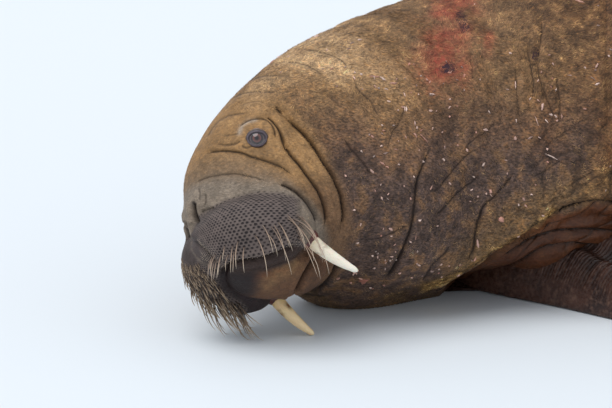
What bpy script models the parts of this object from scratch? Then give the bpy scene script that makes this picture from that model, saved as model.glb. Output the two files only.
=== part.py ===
"""A young walrus lying on its belly, built as named closed solids in metres.

It faces -X with its head turned and rolled towards its left flank, -Y is its left side,
and the floor is z = 0. The whole skin is one formula: from each point of a curved spine,
rays go out to the blend of a swept body section and rounded masses. The skin is parted
into lengths by thin plane cuts, and the pads, jaw, tusks, eyes and flippers are set in it.
"""
import math
import random

import bpy
import bmesh
import numpy as np
from mathutils import Matrix, Vector

# Driving sizes, metres and radians
HEAD_CENTRE = np.array((-0.049, -0.322, 0.202))
HEAD_TURN = math.radians(40.3)      # the face is turned this far towards the left flank
HEAD_DIP = math.radians(8.1)        # it points this far below level
HEAD_ROLL = math.radians(48.7)      # it is rolled on to its right cheek
GAP = 0.0005                        # left between touching solids
STATION_GAP = 0.0015                # the same between two lengths of the body, in stations
COLUMNS = 48                        # round the body
COLUMN_CROWDING = 0.4               # how much closer the columns stand on the left flank
FULLNESS = 2.5                      # the section's power below the spine, where flesh sags
REACH = 0.55                        # no ray from the spine goes further than this

# Spine from tail to head: x, y, z, half width, rise above it, drop below it, share of the roll
SPINE = np.array([
    (1.736, 0.010, 0.052, 0.036, 0.028, 0.045, 0.0),
    (1.628, 0.012, 0.084, 0.105, 0.068, 0.090, 0.0),
    (1.484, 0.025, 0.122, 0.165, 0.118, 0.130, 0.0),
    (1.304, 0.045, 0.160, 0.228, 0.176, 0.185, 0.0),
    (1.064, 0.055, 0.198, 0.285, 0.222, 0.230, 0.0),
    (0.800, 0.050, 0.222, 0.308, 0.248, 0.255, 0.0),
    (0.570, 0.030, 0.230, 0.300, 0.258, 0.262, 0.0),
    (0.390, -0.010, 0.230, 0.275, 0.252, 0.258, 0.05),
    (0.250, -0.075, 0.226, 0.240, 0.236, 0.250, 0.2),
    (0.130, -0.155, 0.218, 0.196, 0.213, 0.235, 0.5),
    (0.035, -0.247, 0.212, 0.165, 0.175, 0.195, 0.85),
    (-0.049, -0.322, 0.202, 0.100, 0.100, 0.100, 1.0),
])
LAST = len(SPINE) - 1

# Masses of the body: centre, long direction, half sizes (long, across, up), blend
BODY_MASSES = [
    ((0.055, -0.150, 0.266), (1, 0.62, 0.22), (0.190, 0.126, 0.106), 0.09),  # nape
    ((0.055, -0.192, 0.105), (1, 0.55, 0), (0.120, 0.094, 0.115), 0.06),     # throat
    ((0.370, -0.195, 0.170), (1, 0, 0.15), (0.150, 0.095, 0.140), 0.07),     # left shoulder
    ((0.370, 0.170, 0.170), (1, 0, 0.15), (0.150, 0.095, 0.140), 0.07),      # right shoulder
    ((1.340, -0.085, 0.120), (1, 0.12, 0), (0.230, 0.110, 0.110), 0.06),     # left hip
    ((1.340, 0.160, 0.120), (1, -0.2, 0), (0.230, 0.110, 0.110), 0.06),      # right hip
]
# Masses of the head in its own axes: forward, left, up of the centre, half sizes, blend
HEAD_MASSES = [
    ((-0.060, 0, 0.045), (0.140, 0.122, 0.118), 0.05),       # braincase
    ((0.035, 0, 0.025), (0.100, 0.080, 0.083), 0.05),        # brow and bridge of the nose
    ((0.112, 0, 0.000), (0.056, 0.046, 0.045), 0.03),        # nose
    ((-0.020, 0, -0.060), (0.110, 0.095, 0.085), 0.05),      # throat under the jaw
    ((0.010, 0.052, -0.050), (0.085, 0.050, 0.070), 0.05),   # left cheek
    ((0.010, -0.052, -0.050), (0.085, 0.050, 0.070), 0.05),  # right cheek
]
# Collar folds behind the face: up and forward of the head's centre, then depth and width
COLLAR_FOLDS = [
    ([(0.076, -0.013), (0.006, -0.018), (-0.072, -0.018), (-0.126, -0.007), (-0.150, -0.030)],
     0.008, 0.008),
    ([(0.040, 0.015), (-0.032, 0.017), (-0.095, 0.015), (-0.125, 0.020)], 0.007, 0.007),
    ([(-0.014, 0.076), (-0.038, 0.056), (-0.067, 0.045), (-0.113, 0.039)], 0.004, 0.007),
]
# Armpit folds over the root of each fore flipper: x and z along the fold
OUTER_ARMPIT = [(0.203, 0.035), (0.286, 0.104), (0.376, 0.164),
                (0.440, 0.181), (0.530, 0.155), (0.640, 0.040)]
INNER_ARMPIT = [(0.252, 0.035), (0.317, 0.067), (0.398, 0.112), (0.464, 0.101), (0.540, 0.040)]
# Each one's depth and width, and how far the flank below it is tucked in
ARMPIT_FOLDS = [
    (OUTER_ARMPIT, 0.008, 0.012, 0.030),
    (INNER_ARMPIT, 0.007, 0.012, 0.010),
]

# Lengths of the body along the spine, in stations, and how many rows each has
LENGTHS = [
    ("tail", 0.0, 1.4, 5),
    ("rump", 1.4, 3.4, 7),
    ("belly", 3.4, 5.7, 7),
    ("chest", 5.7, 8.0, 14),
    ("neck", 8.0, 9.6, 8),
    ("head", 9.6, 10.64, 6),
]
FOLD_STATIONS = [10.71, 10.78, 10.84, 10.90, 10.95, 11.0]    # closer rows for the collar folds
FOLD_LATITUDES = [3.0, 6.0, 8.5, 11.5, 16.0]
NOSE_ROWS = 12                      # from the folds round to the tip of the nose
TAIL_ROWS = 2

# Face, in the head's axes: forward, left, up of its centre
PAD_CENTRE = (0.115, 0.054, -0.069)
PAD_SIZES = (0.093, 0.055, 0.052)   # half sizes along, across and up
PAD_ALONG = (-0.72, 0.52, -0.44)
PAD_UP = (0, -0.25, 1)
JAW_CENTRE = (0.084, 0, -0.122)
JAW_SIZES = (0.081, 0.051, 0.034)
JAW_ALONG = (0.943, 0, 0.333)
JAW_UP = (-0.333, 0, 0.943)
EYE_CENTRE = (0.0375, 0.0955, 0.051)
EYE_LOOK = (0.55, 0.80, -0.24)
EYE_RADIUS = 0.0172
LID_RADIUS = 0.0222
LID_OPENING = (0.0125, 0.0105, 0.0125)   # half sizes: along the lids, between them, deep
TUSK_ROOT = (0.060, 0.074, -0.106)
TUSK_GUM = (0.054, 0.077, -0.125)
TUSK_TIP = (0.025, 0.088, -0.206)
TUSK_SHARES = {1: 1.0, -1: 0.93}    # the right tusk is worn a little shorter
TUSK_BOW = 0.004                    # how far its middle bends forward
TUSK_RADIUS = 0.0112
NOSTRIL = (0.158, 0.025, 0.006)
NOSTRIL_ALONG = (0.45, 0.15, -0.75)
NOSTRIL_SIZES = (0.015, 0.0035, 0.010)
EAR = (-0.013, 0.117, 0.076)
EAR_SIZES = (0.009, 0.004, 0.006)

# Whiskers of one pad
WHISKER_ROWS = 6
WHISKERS_IN_ROW = 12
WHISKER_LIE = (0.30, -0.57, -0.76)  # where they droop to, in the head's axes on the left
WHISKER_TILTS = np.radians((28, -60))   # round the pad's long axis, first and last row
WHISKER_TURNS = np.radians((150, 22))   # along the pad, first and last whisker of a row
WHISKER_RADIUS = 0.0012
WHISKER_SUNK = 0.005
BARE_MIDDLE = 0.006                 # no whisker grows closer to the middle line of the face
FLOOR_CLEARANCE = 0.004

# Flippers: centre line of the left one (x, y) on the floor, with half widths and thicknesses
FORE_LINE = [(0.310, -0.095), (0.400, -0.155), (0.470, -0.205),
             (0.560, -0.272), (0.700, -0.352), (0.845, -0.415)]
FORE_HALF_WIDTHS = [0.070, 0.075, 0.080, 0.088, 0.096, 0.078]
FORE_HEIGHTS = [0.120, 0.125, 0.115, 0.085, 0.045, 0.010]
HIND_LINE = [(1.560, -0.045), (1.660, -0.066), (1.770, -0.095), (1.880, -0.125), (1.975, -0.150)]
HIND_HALF_WIDTHS = [0.045, 0.044, 0.062, 0.086, 0.098]
HIND_HEIGHTS = [0.062, 0.052, 0.036, 0.024, 0.010]
FLIPPER_ROWS = 11                   # along each flipper
MIDDLE_REACH = 0.05                 # how far the middle digit reaches past the line's end
DIGIT_NOTCH = 0.028                 # how deep the web is cut between two digits
DIGITS = 5


def unit(vector):
    """The direction of a vector."""
    vector = np.asarray(vector, float)
    return vector / np.linalg.norm(vector)


def head_axes():
    """The head's forward, left and up directions as rows."""
    level = math.cos(HEAD_DIP)
    forward = np.array([-level * math.cos(HEAD_TURN), -level * math.sin(HEAD_TURN), -math.sin(HEAD_DIP)])
    side = np.array([math.sin(HEAD_TURN), -math.cos(HEAD_TURN), 0])
    crown = np.cross(forward, side)
    left = side * math.cos(HEAD_ROLL) + crown * math.sin(HEAD_ROLL)
    up = crown * math.cos(HEAD_ROLL) - side * math.sin(HEAD_ROLL)
    return np.stack([forward, left, up])


AXES = head_axes()


def head_point(place, side=1):
    """A place in the head's axes as a world point, mirrored for side -1."""
    forward, left, up = place
    return HEAD_CENTRE + forward * AXES[0] + left * side * AXES[1] + up * AXES[2]


def head_direction(direction, side=1):
    """A direction in the head's axes as a world direction, mirrored for side -1."""
    forward, left, up = unit(direction)
    return forward * AXES[0] + left * side * AXES[1] + up * AXES[2]


def axes_along(along, up):
    """Three perpendicular rows: along, across and up."""
    first = unit(along)
    up = np.asarray(up, float)
    third = unit(up - first * (first @ up))
    return np.stack([first, np.cross(third, first), third])


def list_masses():
    """Every rounded mass as centre, axes, half sizes and blend."""
    found = []
    for centre, along, sizes, blend in BODY_MASSES:
        found.append((np.array(centre), axes_along(along, (0, 0, 1)), np.array(sizes), blend))
    for place, sizes, blend in HEAD_MASSES:
        found.append((head_point(place), AXES, np.array(sizes), blend))
    return found


MASSES = list_masses()


def spine_rows(t):
    """The spine's rows at stations t, on a smooth curve through the table."""
    i = np.clip(np.floor(t).astype(int), 0, LAST - 1)
    f = (t - i)[:, None]
    start, end = SPINE[i], SPINE[i + 1]
    before = np.where((i > 0)[:, None], SPINE[np.maximum(i - 1, 0)], 2 * start - end)
    after = np.where((i < LAST - 1)[:, None], SPINE[np.minimum(i + 2, LAST)], 2 * end - start)
    leave, arrive = (end - before) / 2, (after - start) / 2
    return ((2 * f**3 - 3 * f**2 + 1) * start + (f**3 - 2 * f**2 + f) * leave
            + (3 * f**2 - 2 * f**3) * end + (f**3 - f**2) * arrive)


def spine_frames(t):
    """Rows of the spine with its forward, left and up directions, which roll towards the head."""
    row = spine_rows(t)
    step = 0.001
    ahead = spine_rows(np.minimum(t + step, LAST))[:, :3] - spine_rows(np.maximum(t - step, 0))[:, :3]
    forward = ahead / np.linalg.norm(ahead, axis=1)[:, None]
    side = np.cross((0, 0, 1.0), forward)
    side /= np.linalg.norm(side, axis=1)[:, None]
    crown = np.cross(forward, side)
    roll = (row[:, 6] * HEAD_ROLL)[:, None]
    left = side * np.cos(roll) + crown * np.sin(roll)
    share = np.clip((t - (LAST - 2)) / 2, 0, 1)[:, None]
    share = share * share * (3 - 2 * share)
    forward = forward * (1 - share) + AXES[0] * share
    left = left * (1 - share) + AXES[1] * share
    forward /= np.linalg.norm(forward, axis=1)[:, None]
    left -= forward * np.sum(forward * left, 1)[:, None]
    left /= np.linalg.norm(left, axis=1)[:, None]
    return row, forward, left, np.cross(forward, left)


def distance_to_mass(points, centre, axes, sizes):
    """About how far the points are outside an ellipsoid."""
    local = (points - centre) @ axes.T
    near = np.linalg.norm(local / sizes, axis=-1)
    slope = np.linalg.norm(local / sizes**2, axis=-1)
    return near * (near - 1) / np.maximum(slope, 1e-9)


def outside(points, radius, section):
    """How far the points are outside the blend of the section and the masses."""
    distance = radius - section
    for centre, axes, sizes, blend in MASSES:
        other = distance_to_mass(points, centre, axes, sizes)
        mixed = np.maximum(blend - np.abs(distance - other), 0) / blend
        distance = np.minimum(distance, other) - mixed * mixed * blend / 4
    return distance


def groove(across, depth, width):
    """How deep a fold is at a distance across it."""
    return depth * np.exp(-(across / width)**2)


def fold_depth(points):
    """How far the folds draw the skin in at the points."""
    forward, left, up = np.moveaxis((points - HEAD_CENTRE) @ AXES.T, -1, 0)
    depth = np.zeros(forward.shape)
    beside = np.clip(np.abs(left) / 0.04, 0, 1)
    for line, deep, wide in COLLAR_FOLDS:
        ups, forwards = np.array(line[::-1]).T
        end = np.clip((up - ups[0]) / 0.01 + 1, 0, 1) * np.clip((ups[-1] - up) / 0.02 + 1, 0, 1)
        low = np.where(up < -0.11, 1, beside)
        depth += groove(forward - np.interp(up, ups, forwards), deep, wide) * end * low
    x, z = points[..., 0], points[..., 2]
    for line, deep, wide, tuck in ARMPIT_FOLDS:
        xs, zs = np.array(line).T
        end = np.clip((x - xs[0]) / 0.03, 0, 1) * np.clip((xs[-1] - x) / 0.03, 0, 1)
        steep = np.hypot(1, np.interp(x, xs, np.gradient(zs, xs)))
        above = (z - np.interp(x, xs, zs)) / steep
        depth += groove(above, deep, wide) * end
        depth += tuck * np.clip(-above / 0.035, 0, 1) * end
    return depth


def skin_points(rows, stand_off=0.0):
    """The skin's points for rows of (station, latitude), a ring of COLUMNS for each row."""
    stations, latitudes = np.array(rows, float).T
    row, forward, left, up = spine_frames(stations)
    turn = np.arange(COLUMNS) * 2 * math.pi / COLUMNS
    turn = turn - COLUMN_CROWDING * np.sin(turn - 0.1)
    ring = left[:, None] * np.cos(turn)[None, :, None] + up[:, None] * np.sin(turn)[None, :, None]
    rays = ring * np.cos(latitudes)[:, None, None] + forward[:, None] * np.sin(latitudes)[:, None, None]
    wide = row[:, 3][:, None]
    tall = np.where(np.sin(turn)[None] > 0, row[:, 4][:, None], row[:, 5][:, None])
    power = np.where(np.sin(turn) > 0, 2.0, FULLNESS)[None]
    section = (np.abs(np.cos(turn))[None] / wide)**power + (np.abs(np.sin(turn))[None] / tall)**power
    section = section**(-1 / power)
    start = row[:, None, :3]
    inner = np.zeros(section.shape)
    outer = np.full(section.shape, REACH)
    found = np.zeros(section.shape, bool)
    steps = np.linspace(REACH, 0, 45)
    for above, below in zip(steps[:-1], steps[1:]):
        hit = (outside(start + rays * below, below, section) < 0) & ~found
        outer[hit] = above
        inner[hit] = below
        found |= hit
    for _ in range(18):
        radius = (inner + outer) / 2
        within = outside(start + rays * radius[..., None], radius, section) < 0
        inner = np.where(within, radius, inner)
        outer = np.where(within, outer, radius)
    radius = (inner + outer) / 2
    radius = radius - fold_depth(start + rays * radius[..., None]) + stand_off
    points = start + rays * radius[..., None]
    points[..., 2] = np.maximum(points[..., 2], 0)
    return points


# The scene and its materials
for old in list(bpy.data.objects):
    bpy.data.objects.remove(old)
walrus = bpy.data.collections.new("walrus")
bpy.context.scene.collection.children.link(walrus)


def make_material(name, colour, roughness):
    """A plain surface of one colour."""
    material = bpy.data.materials.new(name)
    material.use_nodes = True
    shader = material.node_tree.nodes["Principled BSDF"]
    shader.inputs["Base Color"].default_value = (*colour, 1)
    shader.inputs["Roughness"].default_value = roughness
    shader.inputs["Metallic"].default_value = 0
    return material


HIDE = make_material("tan hide", (0.31, 0.22, 0.13), 0.75)
DARK_HIDE = make_material("grey-brown hide", (0.17, 0.13, 0.10), 0.75)
PAD = make_material("whisker pad", (0.20, 0.16, 0.13), 0.7)
LIP = make_material("dark lip", (0.09, 0.05, 0.045), 0.5)
BARE = make_material("bare flipper skin", (0.10, 0.07, 0.06), 0.7)
IVORY = make_material("tusk ivory", (0.78, 0.68, 0.50), 0.35)
EYE = make_material("wet eye", (0.05, 0.02, 0.018), 0.08)


def add_object(name, mesh, material=None):
    """A mesh as a named object of the walrus."""
    thing = bpy.data.objects.new(name, mesh)
    walrus.objects.link(thing)
    if material:
        mesh.materials.append(material)
    return thing


def loft(name, rings, start_tip, end_tip, material=None):
    """A closed solid through rings of points, ended by a fan to a tip at each end."""
    build = bmesh.new()
    loops = [[build.verts.new(point) for point in ring] for ring in rings]
    for near, far in zip(loops[:-1], loops[1:]):
        for i in range(len(near)):
            j = (i + 1) % len(near)
            build.faces.new((near[i], near[j], far[j], far[i]))
    for loop, tip in ((loops[0], start_tip), (loops[-1], end_tip)):
        point = build.verts.new(tip)
        for i in range(len(loop)):
            build.faces.new((loop[i], loop[(i + 1) % len(loop)], point))
    bmesh.ops.triangulate(build, faces=build.faces)
    bmesh.ops.recalc_face_normals(build, faces=build.faces)
    mesh = bpy.data.meshes.new(name)
    build.to_mesh(mesh)
    build.free()
    mesh.shade_smooth()
    return add_object(name, mesh, material)


def ball(name, centre, axes, sizes, segments, rings, material=None):
    """An ellipsoid with its poles along the third axis."""
    build = bmesh.new()
    bmesh.ops.create_uvsphere(build, u_segments=segments, v_segments=rings, radius=1)
    place = np.eye(4)
    place[:3, :3] = (axes * np.array(sizes)[:, None]).T
    place[:3, 3] = centre
    build.transform(Matrix(place.tolist()))
    bmesh.ops.triangulate(build, faces=build.faces)
    bmesh.ops.recalc_face_normals(build, faces=build.faces)
    mesh = bpy.data.meshes.new(name)
    build.to_mesh(mesh)
    build.free()
    mesh.shade_smooth()
    return add_object(name, mesh, material)


def boolean(thing, others, operation):
    """Cuts the others from a solid or joins them to it, and removes them."""
    tools = bpy.data.collections.new("tools")
    for other in others:
        tools.objects.link(other)
    change = thing.modifiers.new("shape", "BOOLEAN")
    change.operation = operation
    change.solver = "EXACT"
    change.operand_type = "COLLECTION"
    change.collection = tools
    with bpy.context.temp_override(object=thing, active_object=thing):
        bpy.ops.object.modifier_apply(modifier=change.name)
    bpy.data.collections.remove(tools)
    for other in others:
        bpy.data.objects.remove(other)


def keep_largest(thing):
    """Drops loose scraps and sealed hollows, and welds what a cut left apart."""
    build = bmesh.new()
    build.from_mesh(thing.data)
    bmesh.ops.remove_doubles(build, verts=build.verts, dist=0.000002)
    bmesh.ops.dissolve_degenerate(build, edges=build.edges, dist=0.000002)
    bmesh.ops.triangulate(build, faces=build.faces)
    pieces = []
    left = set(build.verts)
    while left:
        piece = set()
        edge = [left.pop()]
        while edge:
            vert = edge.pop()
            piece.add(vert)
            for link in vert.link_edges:
                other = link.other_vert(vert)
                if other in left:
                    left.discard(other)
                    edge.append(other)
        pieces.append(piece)
    pieces.sort(key=len)
    for piece in pieces[:-1]:
        bmesh.ops.delete(build, geom=list(piece), context="VERTS")
    build.to_mesh(thing.data)
    build.free()


def spike(root, lie, droop, length):
    """A tapered, bent whisker of three sides with a pointed tip, as a closed mesh object."""
    middle = root + length * (0.42 * lie + 0.10 * droop)
    tip = root + length * (0.60 * lie + 0.66 * droop)
    for place in (middle, tip):
        place[2] = max(place[2], FLOOR_CLEARANCE)
    base = root - lie * WHISKER_SUNK
    rings = []
    for place, towards, width in ((base, middle - base, 1.0), (middle, tip - base, 0.75)):
        axes = axes_along(towards, droop + 0.01)
        corners = [i * 2 * math.pi / 3 for i in range(3)]
        width = width * WHISKER_RADIUS
        rings.append([place + width * (math.cos(a) * axes[1] + math.sin(a) * axes[2]) for a in corners])
    return loft("spike", rings, base, tip)


def pad_axes(side):
    """A whisker pad's long, outer and up directions in the world."""
    along = head_direction(PAD_ALONG, side)
    up = head_direction(PAD_UP, side)
    return axes_along(along, up) * np.array((1, -side, 1))[:, None]


def make_pad(side, grow=0.0):
    """The cushion of a whisker pad, grown for use as a cutter."""
    sizes = np.array(PAD_SIZES) + grow
    return ball("pad", head_point(PAD_CENTRE, side), pad_axes(side), sizes, 22, 12)


def make_jaw(grow=0.0):
    """The lower jaw with its lip, grown for use as a cutter."""
    axes = axes_along(head_direction(JAW_ALONG), head_direction(JAW_UP))
    return ball("jaw", head_point(JAW_CENTRE), axes, np.array(JAW_SIZES) + grow, 20, 10)


def make_tusk(side, grow=0.0):
    """A tusk as a tapered tube along a slight bow, from its socket to its blunt tip."""
    root, gum, tip = (head_point(place, side) for place in (TUSK_ROOT, TUSK_GUM, TUSK_TIP))
    tip = gum + (tip - gum) * TUSK_SHARES[side]
    bow = head_direction((1, 0, -0.3), side) * TUSK_BOW
    shares = [0, 0.18, 0.38, 0.58, 0.76, 0.9, 0.97, 1.0]
    widths = [1.0, 0.97, 0.90, 0.78, 0.62, 0.45, 0.30, 0.12]
    curve = bpy.data.curves.new("tusk", "CURVE")
    curve.dimensions = "3D"
    curve.bevel_depth = TUSK_RADIUS + grow
    curve.bevel_resolution = 4
    curve.use_fill_caps = True
    line = curve.splines.new("POLY")
    line.points.add(len(shares))
    places = [root] + [gum + (tip - gum) * s + bow * 4 * s * (1 - s) for s in shares]
    for point, place, width in zip(line.points, places, [1.0] + widths):
        point.co = (*place, 1)
        point.radius = width
    guide = add_object("tusk guide", curve)
    bpy.context.view_layer.update()
    mesh = bpy.data.meshes.new_from_object(guide.evaluated_get(bpy.context.evaluated_depsgraph_get()))
    bpy.data.objects.remove(guide)
    build = bmesh.new()
    build.from_mesh(mesh)
    bmesh.ops.remove_doubles(build, verts=build.verts, dist=0.00005)
    bmesh.ops.triangulate(build, faces=build.faces)
    bmesh.ops.recalc_face_normals(build, faces=build.faces)
    build.to_mesh(mesh)
    build.free()
    return add_object("tusk", mesh)


def whisker_spines(side):
    """Rows of whiskers over a pad's outer face, longest low down and towards the tusk."""
    axes = pad_axes(side)
    centre = head_point(PAD_CENTRE, side)
    draw = random.Random(7 + side)
    spines = []
    for row in range(WHISKER_ROWS):
        low = row / (WHISKER_ROWS - 1)
        tilt = WHISKER_TILTS[0] + (WHISKER_TILTS[1] - WHISKER_TILTS[0]) * low
        for place in range(WHISKERS_IN_ROW):
            share = (place + 0.5 * (row % 2) + draw.uniform(-0.15, 0.15)) / WHISKERS_IN_ROW
            turn = WHISKER_TURNS[0] + (WHISKER_TURNS[1] - WHISKER_TURNS[0]) * share
            ring = math.sin(turn)
            local = np.array((math.cos(turn), ring * math.cos(tilt), ring * math.sin(tilt)))
            root = centre + (local * np.array(PAD_SIZES)) @ axes
            beside = ((root - HEAD_CENTRE) @ AXES[1]) * side
            if beside < BARE_MIDDLE:
                continue
            inward = min(1, (beside - BARE_MIDDLE) / 0.05)
            droop = head_direction((WHISKER_LIE[0], WHISKER_LIE[1] * inward, WHISKER_LIE[2]), side)
            normal = unit((local / np.array(PAD_SIZES)) @ axes)
            length = (0.010 + 0.022 * low + 0.036 * share * (0.35 + 0.65 * low)) * draw.uniform(0.85, 1.15)
            lie = unit(normal + 0.35 * droop)
            spines.append(spike(root, lie, droop, length))
    return spines


def body_lengths():
    """The skin parted into lengths by plane cuts across the spine."""
    made = {}
    for name, start, end, count in LENGTHS:
        first = start + (STATION_GAP if start > 0 else 0)
        last = end - (STATION_GAP if name != "head" else 0)
        rows = [(t, 0) for t in np.linspace(first, last, count + 1)]
        start_tip = spine_rows(np.array([first]))[0, :3]
        end_tip = spine_rows(np.array([last]))[0, :3]
        if start == 0:
            rows = [(0, a) for a in np.linspace(-math.pi / 2, 0, TAIL_ROWS + 1)[1:-1]] + rows
            start_tip = skin_points([(0, -math.pi / 2)])[0].mean(0)
        if name == "head":
            face = np.linspace(math.radians(FOLD_LATITUDES[-1]), math.pi / 2, NOSE_ROWS + 1)[1:-1]
            rows = rows + [(t, 0) for t in FOLD_STATIONS]
            rows = rows + [(LAST, math.radians(a)) for a in FOLD_LATITUDES] + [(LAST, a) for a in face]
            end_tip = skin_points([(LAST, math.pi / 2)])[0].mean(0)
        material = HIDE if name in ("head", "neck", "chest") else DARK_HIDE
        made[name] = loft(name, skin_points(rows), start_tip, end_tip, material)
    return made


def skin_cutter(stand_off):
    """The whole skin from the rump to the neck, stood off, to trim what grows from it."""
    rows = []
    for name, start, end, count in LENGTHS[:-1]:
        rows += [(t, 0) for t in np.linspace(start, end, count + 1)[:-1]]
    points = skin_points(rows, stand_off)
    points[..., 2] -= np.where(points[..., 2] <= 0, 0.02, 0)
    first, last = (spine_rows(np.array([t]))[0, :3] for t in (rows[0][0], rows[-1][0]))
    return loft("skin cutter", points, first, last)


def make_flipper(name, line, half_widths, heights, side):
    """A flat flipper with five digits, lying on the floor along a bent centre line."""
    shares = np.linspace(0, 1, FLIPPER_ROWS)
    knots = np.linspace(0, 1, len(line))
    xs, ys = (np.interp(shares, knots, values) for values in np.array(line).T)
    rings = []
    across = np.linspace(-1, 1, 2 * DIGITS + 1)
    digit = 0.5 + 0.5 * np.cos(across * math.pi * DIGITS)
    for i, share in enumerate(shares):
        step = unit((np.gradient(xs)[i], np.gradient(ys)[i], 0))
        aside = np.array((step[1], -step[0], 0))
        wide = np.interp(share, knots, half_widths)
        tall = np.interp(share, knots, heights)
        reach = MIDDLE_REACH * share**3 * (1 - 0.6 * across**2) - DIGIT_NOTCH * share**8 * (1 - digit)
        profile = np.clip(1 - across**2, 0, 1)**0.4
        ridge = 1 + 0.16 * share * (digit - 0.5)
        base = np.array((xs[i], ys[i], 0))
        top = [base + aside * wide * a + step * r + np.array((0, 0, tall * p * g + 0.003))
               for a, r, p, g in zip(across, reach, profile, ridge)]
        under = [base + aside * wide * a * 0.985 + step * r for a, r in zip(across[::-1], reach[::-1])]
        rings.append(top + under)
    rings = [[np.array((x, y if side > 0 else 2 * spine_middle(np.array([x]))[0] - y, z)) for x, y, z in ring]
             for ring in rings]
    start = np.mean(rings[0], axis=0)
    end = np.mean(rings[-1], axis=0)
    return loft(name, rings, start, end, BARE)


def spine_middle(xs):
    """The spine's y at each x."""
    order = np.argsort(SPINE[:, 0])
    return np.interp(xs, SPINE[order, 0], SPINE[order, 1])


def head_block(centre, width):
    """A cube in the head's axes, for cuts along the middle of the face."""
    build = bmesh.new()
    bmesh.ops.create_cube(build, size=width)
    place = np.eye(4)
    place[:3, :3] = AXES.T
    place[:3, 3] = centre
    build.transform(Matrix(place.tolist()))
    mesh = bpy.data.meshes.new("half")
    build.to_mesh(mesh)
    build.free()
    return add_object("half", mesh)


def build_face(head):
    """Sets the eyes, pads, jaw and tusks in the head and opens nostrils and ears."""
    sides = (("left", 1), ("right", -1))
    centre = {side: head_point(EYE_CENTRE, side) for _, side in sides}
    look = {side: axes_along(head_direction((0.83, -0.52, 0.25), side), head_direction(EYE_LOOK, side))
            for _, side in sides}
    lids = [ball("lid", centre[side], look[side], (LID_RADIUS,) * 3, 16, 10) for _, side in sides]
    boolean(head, lids, "UNION")
    cutters = [make_jaw(GAP)]
    for _, side in sides:
        cutters.append(make_pad(side, GAP))
        cutters.append(make_tusk(side, GAP))
        socket = EYE_RADIUS * 1.045
        cutters.append(ball("socket", centre[side], look[side], (socket,) * 3, 14, 8))
        front = centre[side] + look[side][2] * EYE_RADIUS * 1.15
        cutters.append(ball("opening", front, look[side], LID_OPENING, 16, 8))
        nostril = axes_along(head_direction(NOSTRIL_ALONG, side), head_direction((1, 0.2, 0.3), side))
        cutters.append(ball("nostril", head_point(NOSTRIL, side), nostril, NOSTRIL_SIZES, 10, 6))
        ear = axes_along(head_direction((0.1, 0.2, -1), side), head_direction((0, 1, 0.4), side))
        cutters.append(ball("ear", head_point(EAR, side), ear, EAR_SIZES, 8, 6))
    for cutter in cutters:
        boolean(head, [cutter], "DIFFERENCE")
    keep_largest(head)

    jaw = make_jaw()
    jaw.name = "lower_jaw"
    jaw.data.materials.append(LIP)
    boolean(jaw, [make_pad(1, GAP)], "DIFFERENCE")
    boolean(jaw, [make_pad(-1, GAP)], "DIFFERENCE")
    for label, side in sides:
        pad = make_pad(side)
        pad.name = "whisker_pad_" + label
        pad.data.materials.append(PAD)
        far = head_point((0.1, GAP / 2 - 0.1, -0.05), side)
        boolean(pad, [head_block(far, 0.2)], "DIFFERENCE")
        boolean(pad, whisker_spines(side), "UNION")
        boolean(pad, [make_tusk(side, GAP)], "DIFFERENCE")
        boolean(jaw, [make_tusk(side, GAP)], "DIFFERENCE")
        keep_largest(pad)
        tusk = make_tusk(side)
        tusk.name = "tusk_" + label
        tusk.data.materials.append(IVORY)
        ball("eye_" + label, centre[side], look[side], (EYE_RADIUS,) * 3, 14, 8, EYE)
    keep_largest(jaw)


lengths = body_lengths()
build_face(lengths["head"])
for label, side in (("left", 1), ("right", -1)):
    fore = make_flipper("fore_flipper_" + label, FORE_LINE, FORE_HALF_WIDTHS, FORE_HEIGHTS, side)
    boolean(fore, [skin_cutter(GAP)], "DIFFERENCE")
    keep_largest(fore)
    hind = make_flipper("hind_flipper_" + label, HIND_LINE, HIND_HALF_WIDTHS, HIND_HEIGHTS, side)
    boolean(hind, [skin_cutter(GAP)], "DIFFERENCE")
    keep_largest(hind)

# The origin is the middle of the part's box, on the floor
corners = np.array([Vector(corner) for thing in walrus.objects for corner in thing.bound_box])
middle = (corners.min(0) + corners.max(0)) / 2
for thing in walrus.objects:
    thing.location.x -= middle[0]
    thing.location.y -= middle[1]
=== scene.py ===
# %% [markdown]
# # A young walrus resting on its belly
# The solids give the body's true outline. This script dresses them: one fine skin with its
# folds, lids, whisker pads and mouth takes the place of the lengths of flesh, and eyes, tusks,
# whiskers, flippers, nails and a short coat are set in it. The skin is the same formula as the
# solids', worked out on a much finer grid, so the two agree from every side.

# %% The frame, and the tools this lesson needs
import functools
import math

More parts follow.
